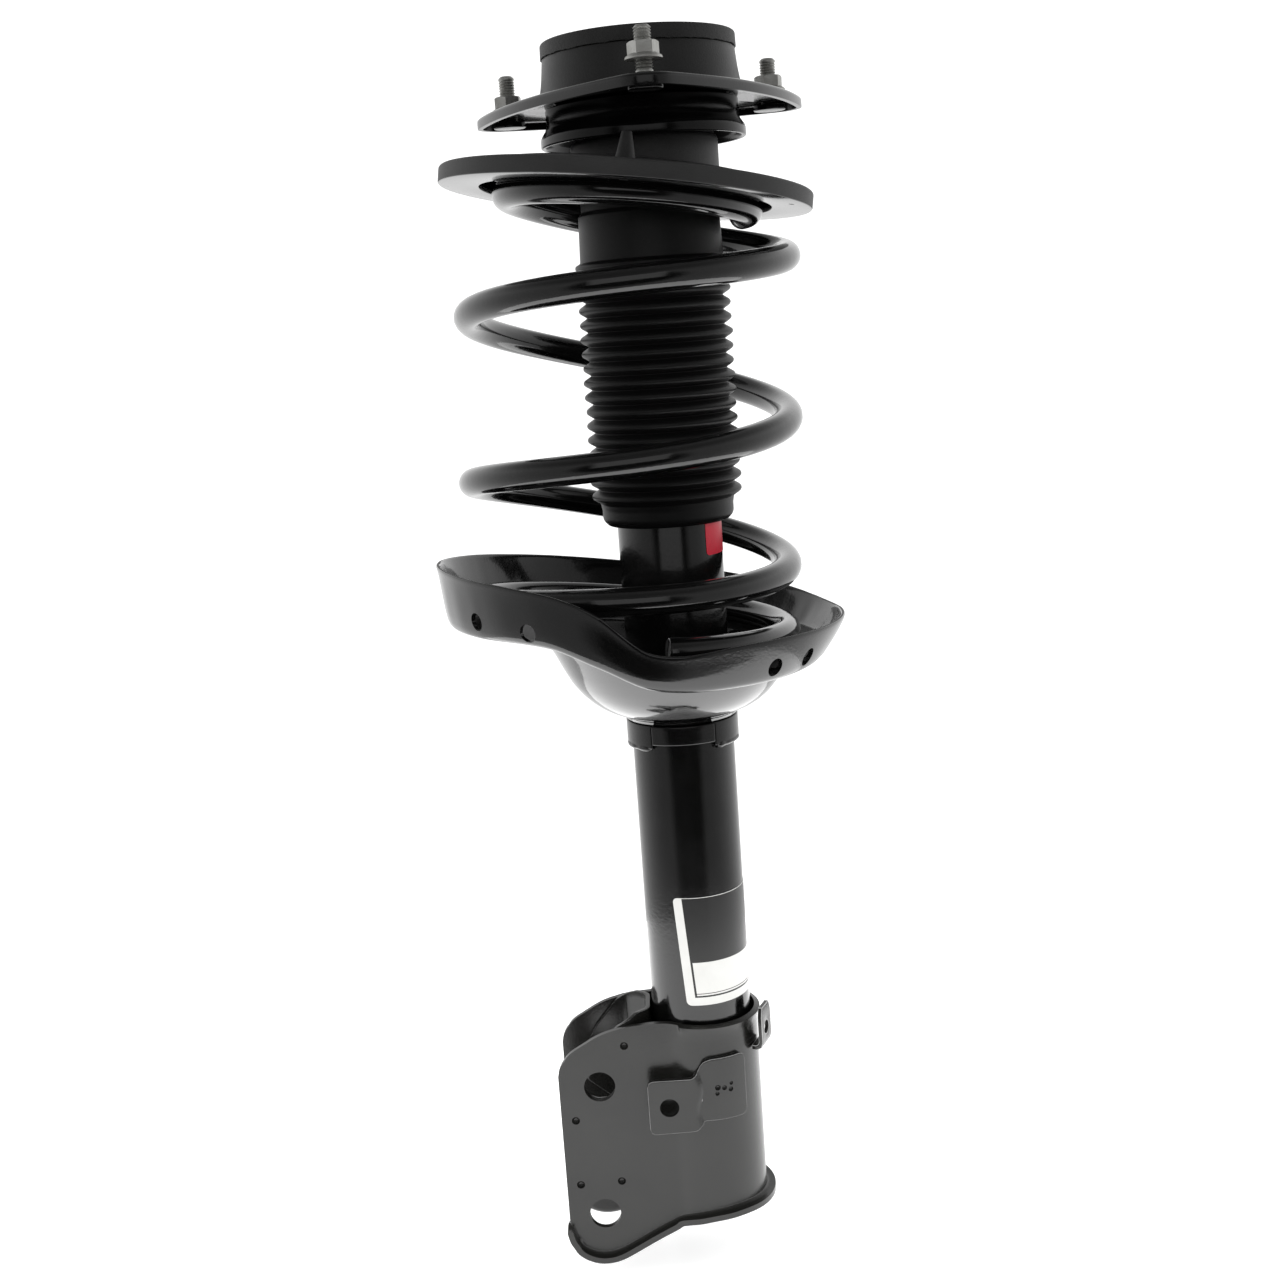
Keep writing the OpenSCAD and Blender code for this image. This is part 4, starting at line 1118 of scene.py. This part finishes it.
def studio_floor():
    """A round white table top, a little lit from within so that no shadow dulls it."""
    floor_mat = bpy.data.materials.new("Studio floor")
    floor_mat.use_nodes = True
    top = floor_mat.node_tree.nodes["Principled BSDF"].inputs
    top["Base Color"].default_value = grey(0.85)
    top["Roughness"].default_value = 0.7
    top["Emission Color"].default_value = WHITE
    top["Emission Strength"].default_value = 0.4
    bm = bmesh.new()
    bmesh.ops.create_circle(bm, cap_ends=True, segments=96, radius=TABLE_R)
    bmesh.ops.translate(bm, verts=bm.verts[:], vec=(0, 0, FLOOR_Z))
    floor = loose(bm, "studio_floor")
    floor.data.materials.append(floor_mat)


def studio_world():
    """White all round for the eye, with screens and darker parts that only reflections show."""
    world = bpy.data.worlds.new("Studio")
    bpy.context.scene.world = world
    world.use_nodes = True
    tree = world.node_tree
    back = tree.nodes["Background"]
    where = node(tree, "ShaderNodeTexCoord")
    split = node(tree, "ShaderNodeSeparateXYZ")
    tree.links.new(where.outputs["Generated"], split.inputs["Vector"])

    def ramp(axis, low, high, start, end):
        """A soft step in brightness along one direction."""
        n = node(tree, "ShaderNodeMapRange",
                 {"From Min": low, "From Max": high, "To Min": start, "To Max": end},
                 interpolation_type="SMOOTHSTEP")
        tree.links.new(split.outputs[axis] if isinstance(axis, str) else axis, n.inputs["Value"])
        return n.outputs["Result"]

    def both(a, b, how):
        n = node(tree, "ShaderNodeMath", operation=how)
        tree.links.new(a, n.inputs[0])
        tree.links.new(b, n.inputs[1])
        return n.outputs[0]

    # Reflections: a dark room behind the viewer, white screens at the sides and behind,
    # and one dim soft box above the viewer
    screens = both(ramp("Y", -0.88, -0.7, 0.004, 0.3), ramp("Y", -0.7, 0.8, 0, 0.6), "ADD")
    over = ramp("Z", 0.35, 0.8, 1, 0.3)
    side = node(tree, "ShaderNodeMath", operation="ABSOLUTE")
    tree.links.new(split.outputs["X"], side.inputs[0])
    soft_box = both(ramp("Z", -0.08, 0.02, 0, 0.5), ramp("Z", 0.5, 0.6, 1, 0), "MULTIPLY")
    soft_box = both(soft_box, ramp(side.outputs[0], 0.36, 0.46, 1, 0), "MULTIPLY")
    soft_box = both(soft_box, ramp("Y", -0.4, -0.2, 1, 0), "MULTIPLY")
    mirror = both(both(screens, over, "MULTIPLY"), soft_box, "MAXIMUM")
    path = node(tree, "ShaderNodeLightPath")
    pick = node(tree, "ShaderNodeMix", data_type="FLOAT")
    pick.inputs["A"].default_value = 1.3
    tree.links.new(path.outputs["Is Glossy Ray"], pick.inputs["Factor"])
    tree.links.new(mirror, pick.inputs["B"])
    tree.links.new(pick.outputs["Result"], back.inputs["Strength"])
    back.inputs["Color"].default_value = WHITE


def soft_light(name, at, size, power, target=(0, 0, -0.3)):
    """A rectangular light aimed at the middle of the strut, itself not seen in reflections."""
    light = bpy.data.lights.new(name, "AREA")
    light.shape = "RECTANGLE"
    light.size, light.size_y = size
    light.energy = power
    obj = bpy.data.objects.new(name, light)
    bpy.context.collection.objects.link(obj)
    obj.location = at
    obj.visible_glossy = False
    obj.rotation_euler = (Vector(target) - Vector(at)).to_track_quat("-Z", "Y").to_euler()


def camera():
    """Looks slightly down from the front, a little turned and tilted."""
    cam = bpy.data.cameras.new("Camera")
    cam.sensor_width, cam.lens = 36, 47.37
    place = Matrix.Translation((0, -0.826, -0.1))
    obj = bpy.data.objects.new("Camera", cam)
    bpy.context.collection.objects.link(obj)
    right = Vector((0.99753781, 0.00887353, -0.06956712))
    up = Vector((0.06662456, 0.18981926, 0.97955593))
    ahead = Vector((-0.0218973, 0.98177895, -0.18876069))
    obj.matrix_world = place @ Matrix((right, up, -ahead)).transposed().to_4x4()
    bpy.context.scene.camera = obj


studio_floor()
studio_world()
soft_light("Left screen", (-1.5, -0.6, 0.1), (1.2, 1.6), 9)
soft_light("Right screen", (1.6, -0.5, 0.1), (1.2, 1.6), 9)
soft_light("Overhead", (0, -0.3, 1.7), (1.8, 1.4), 30)
camera()
bpy.context.scene.view_settings.view_transform = "Standard"
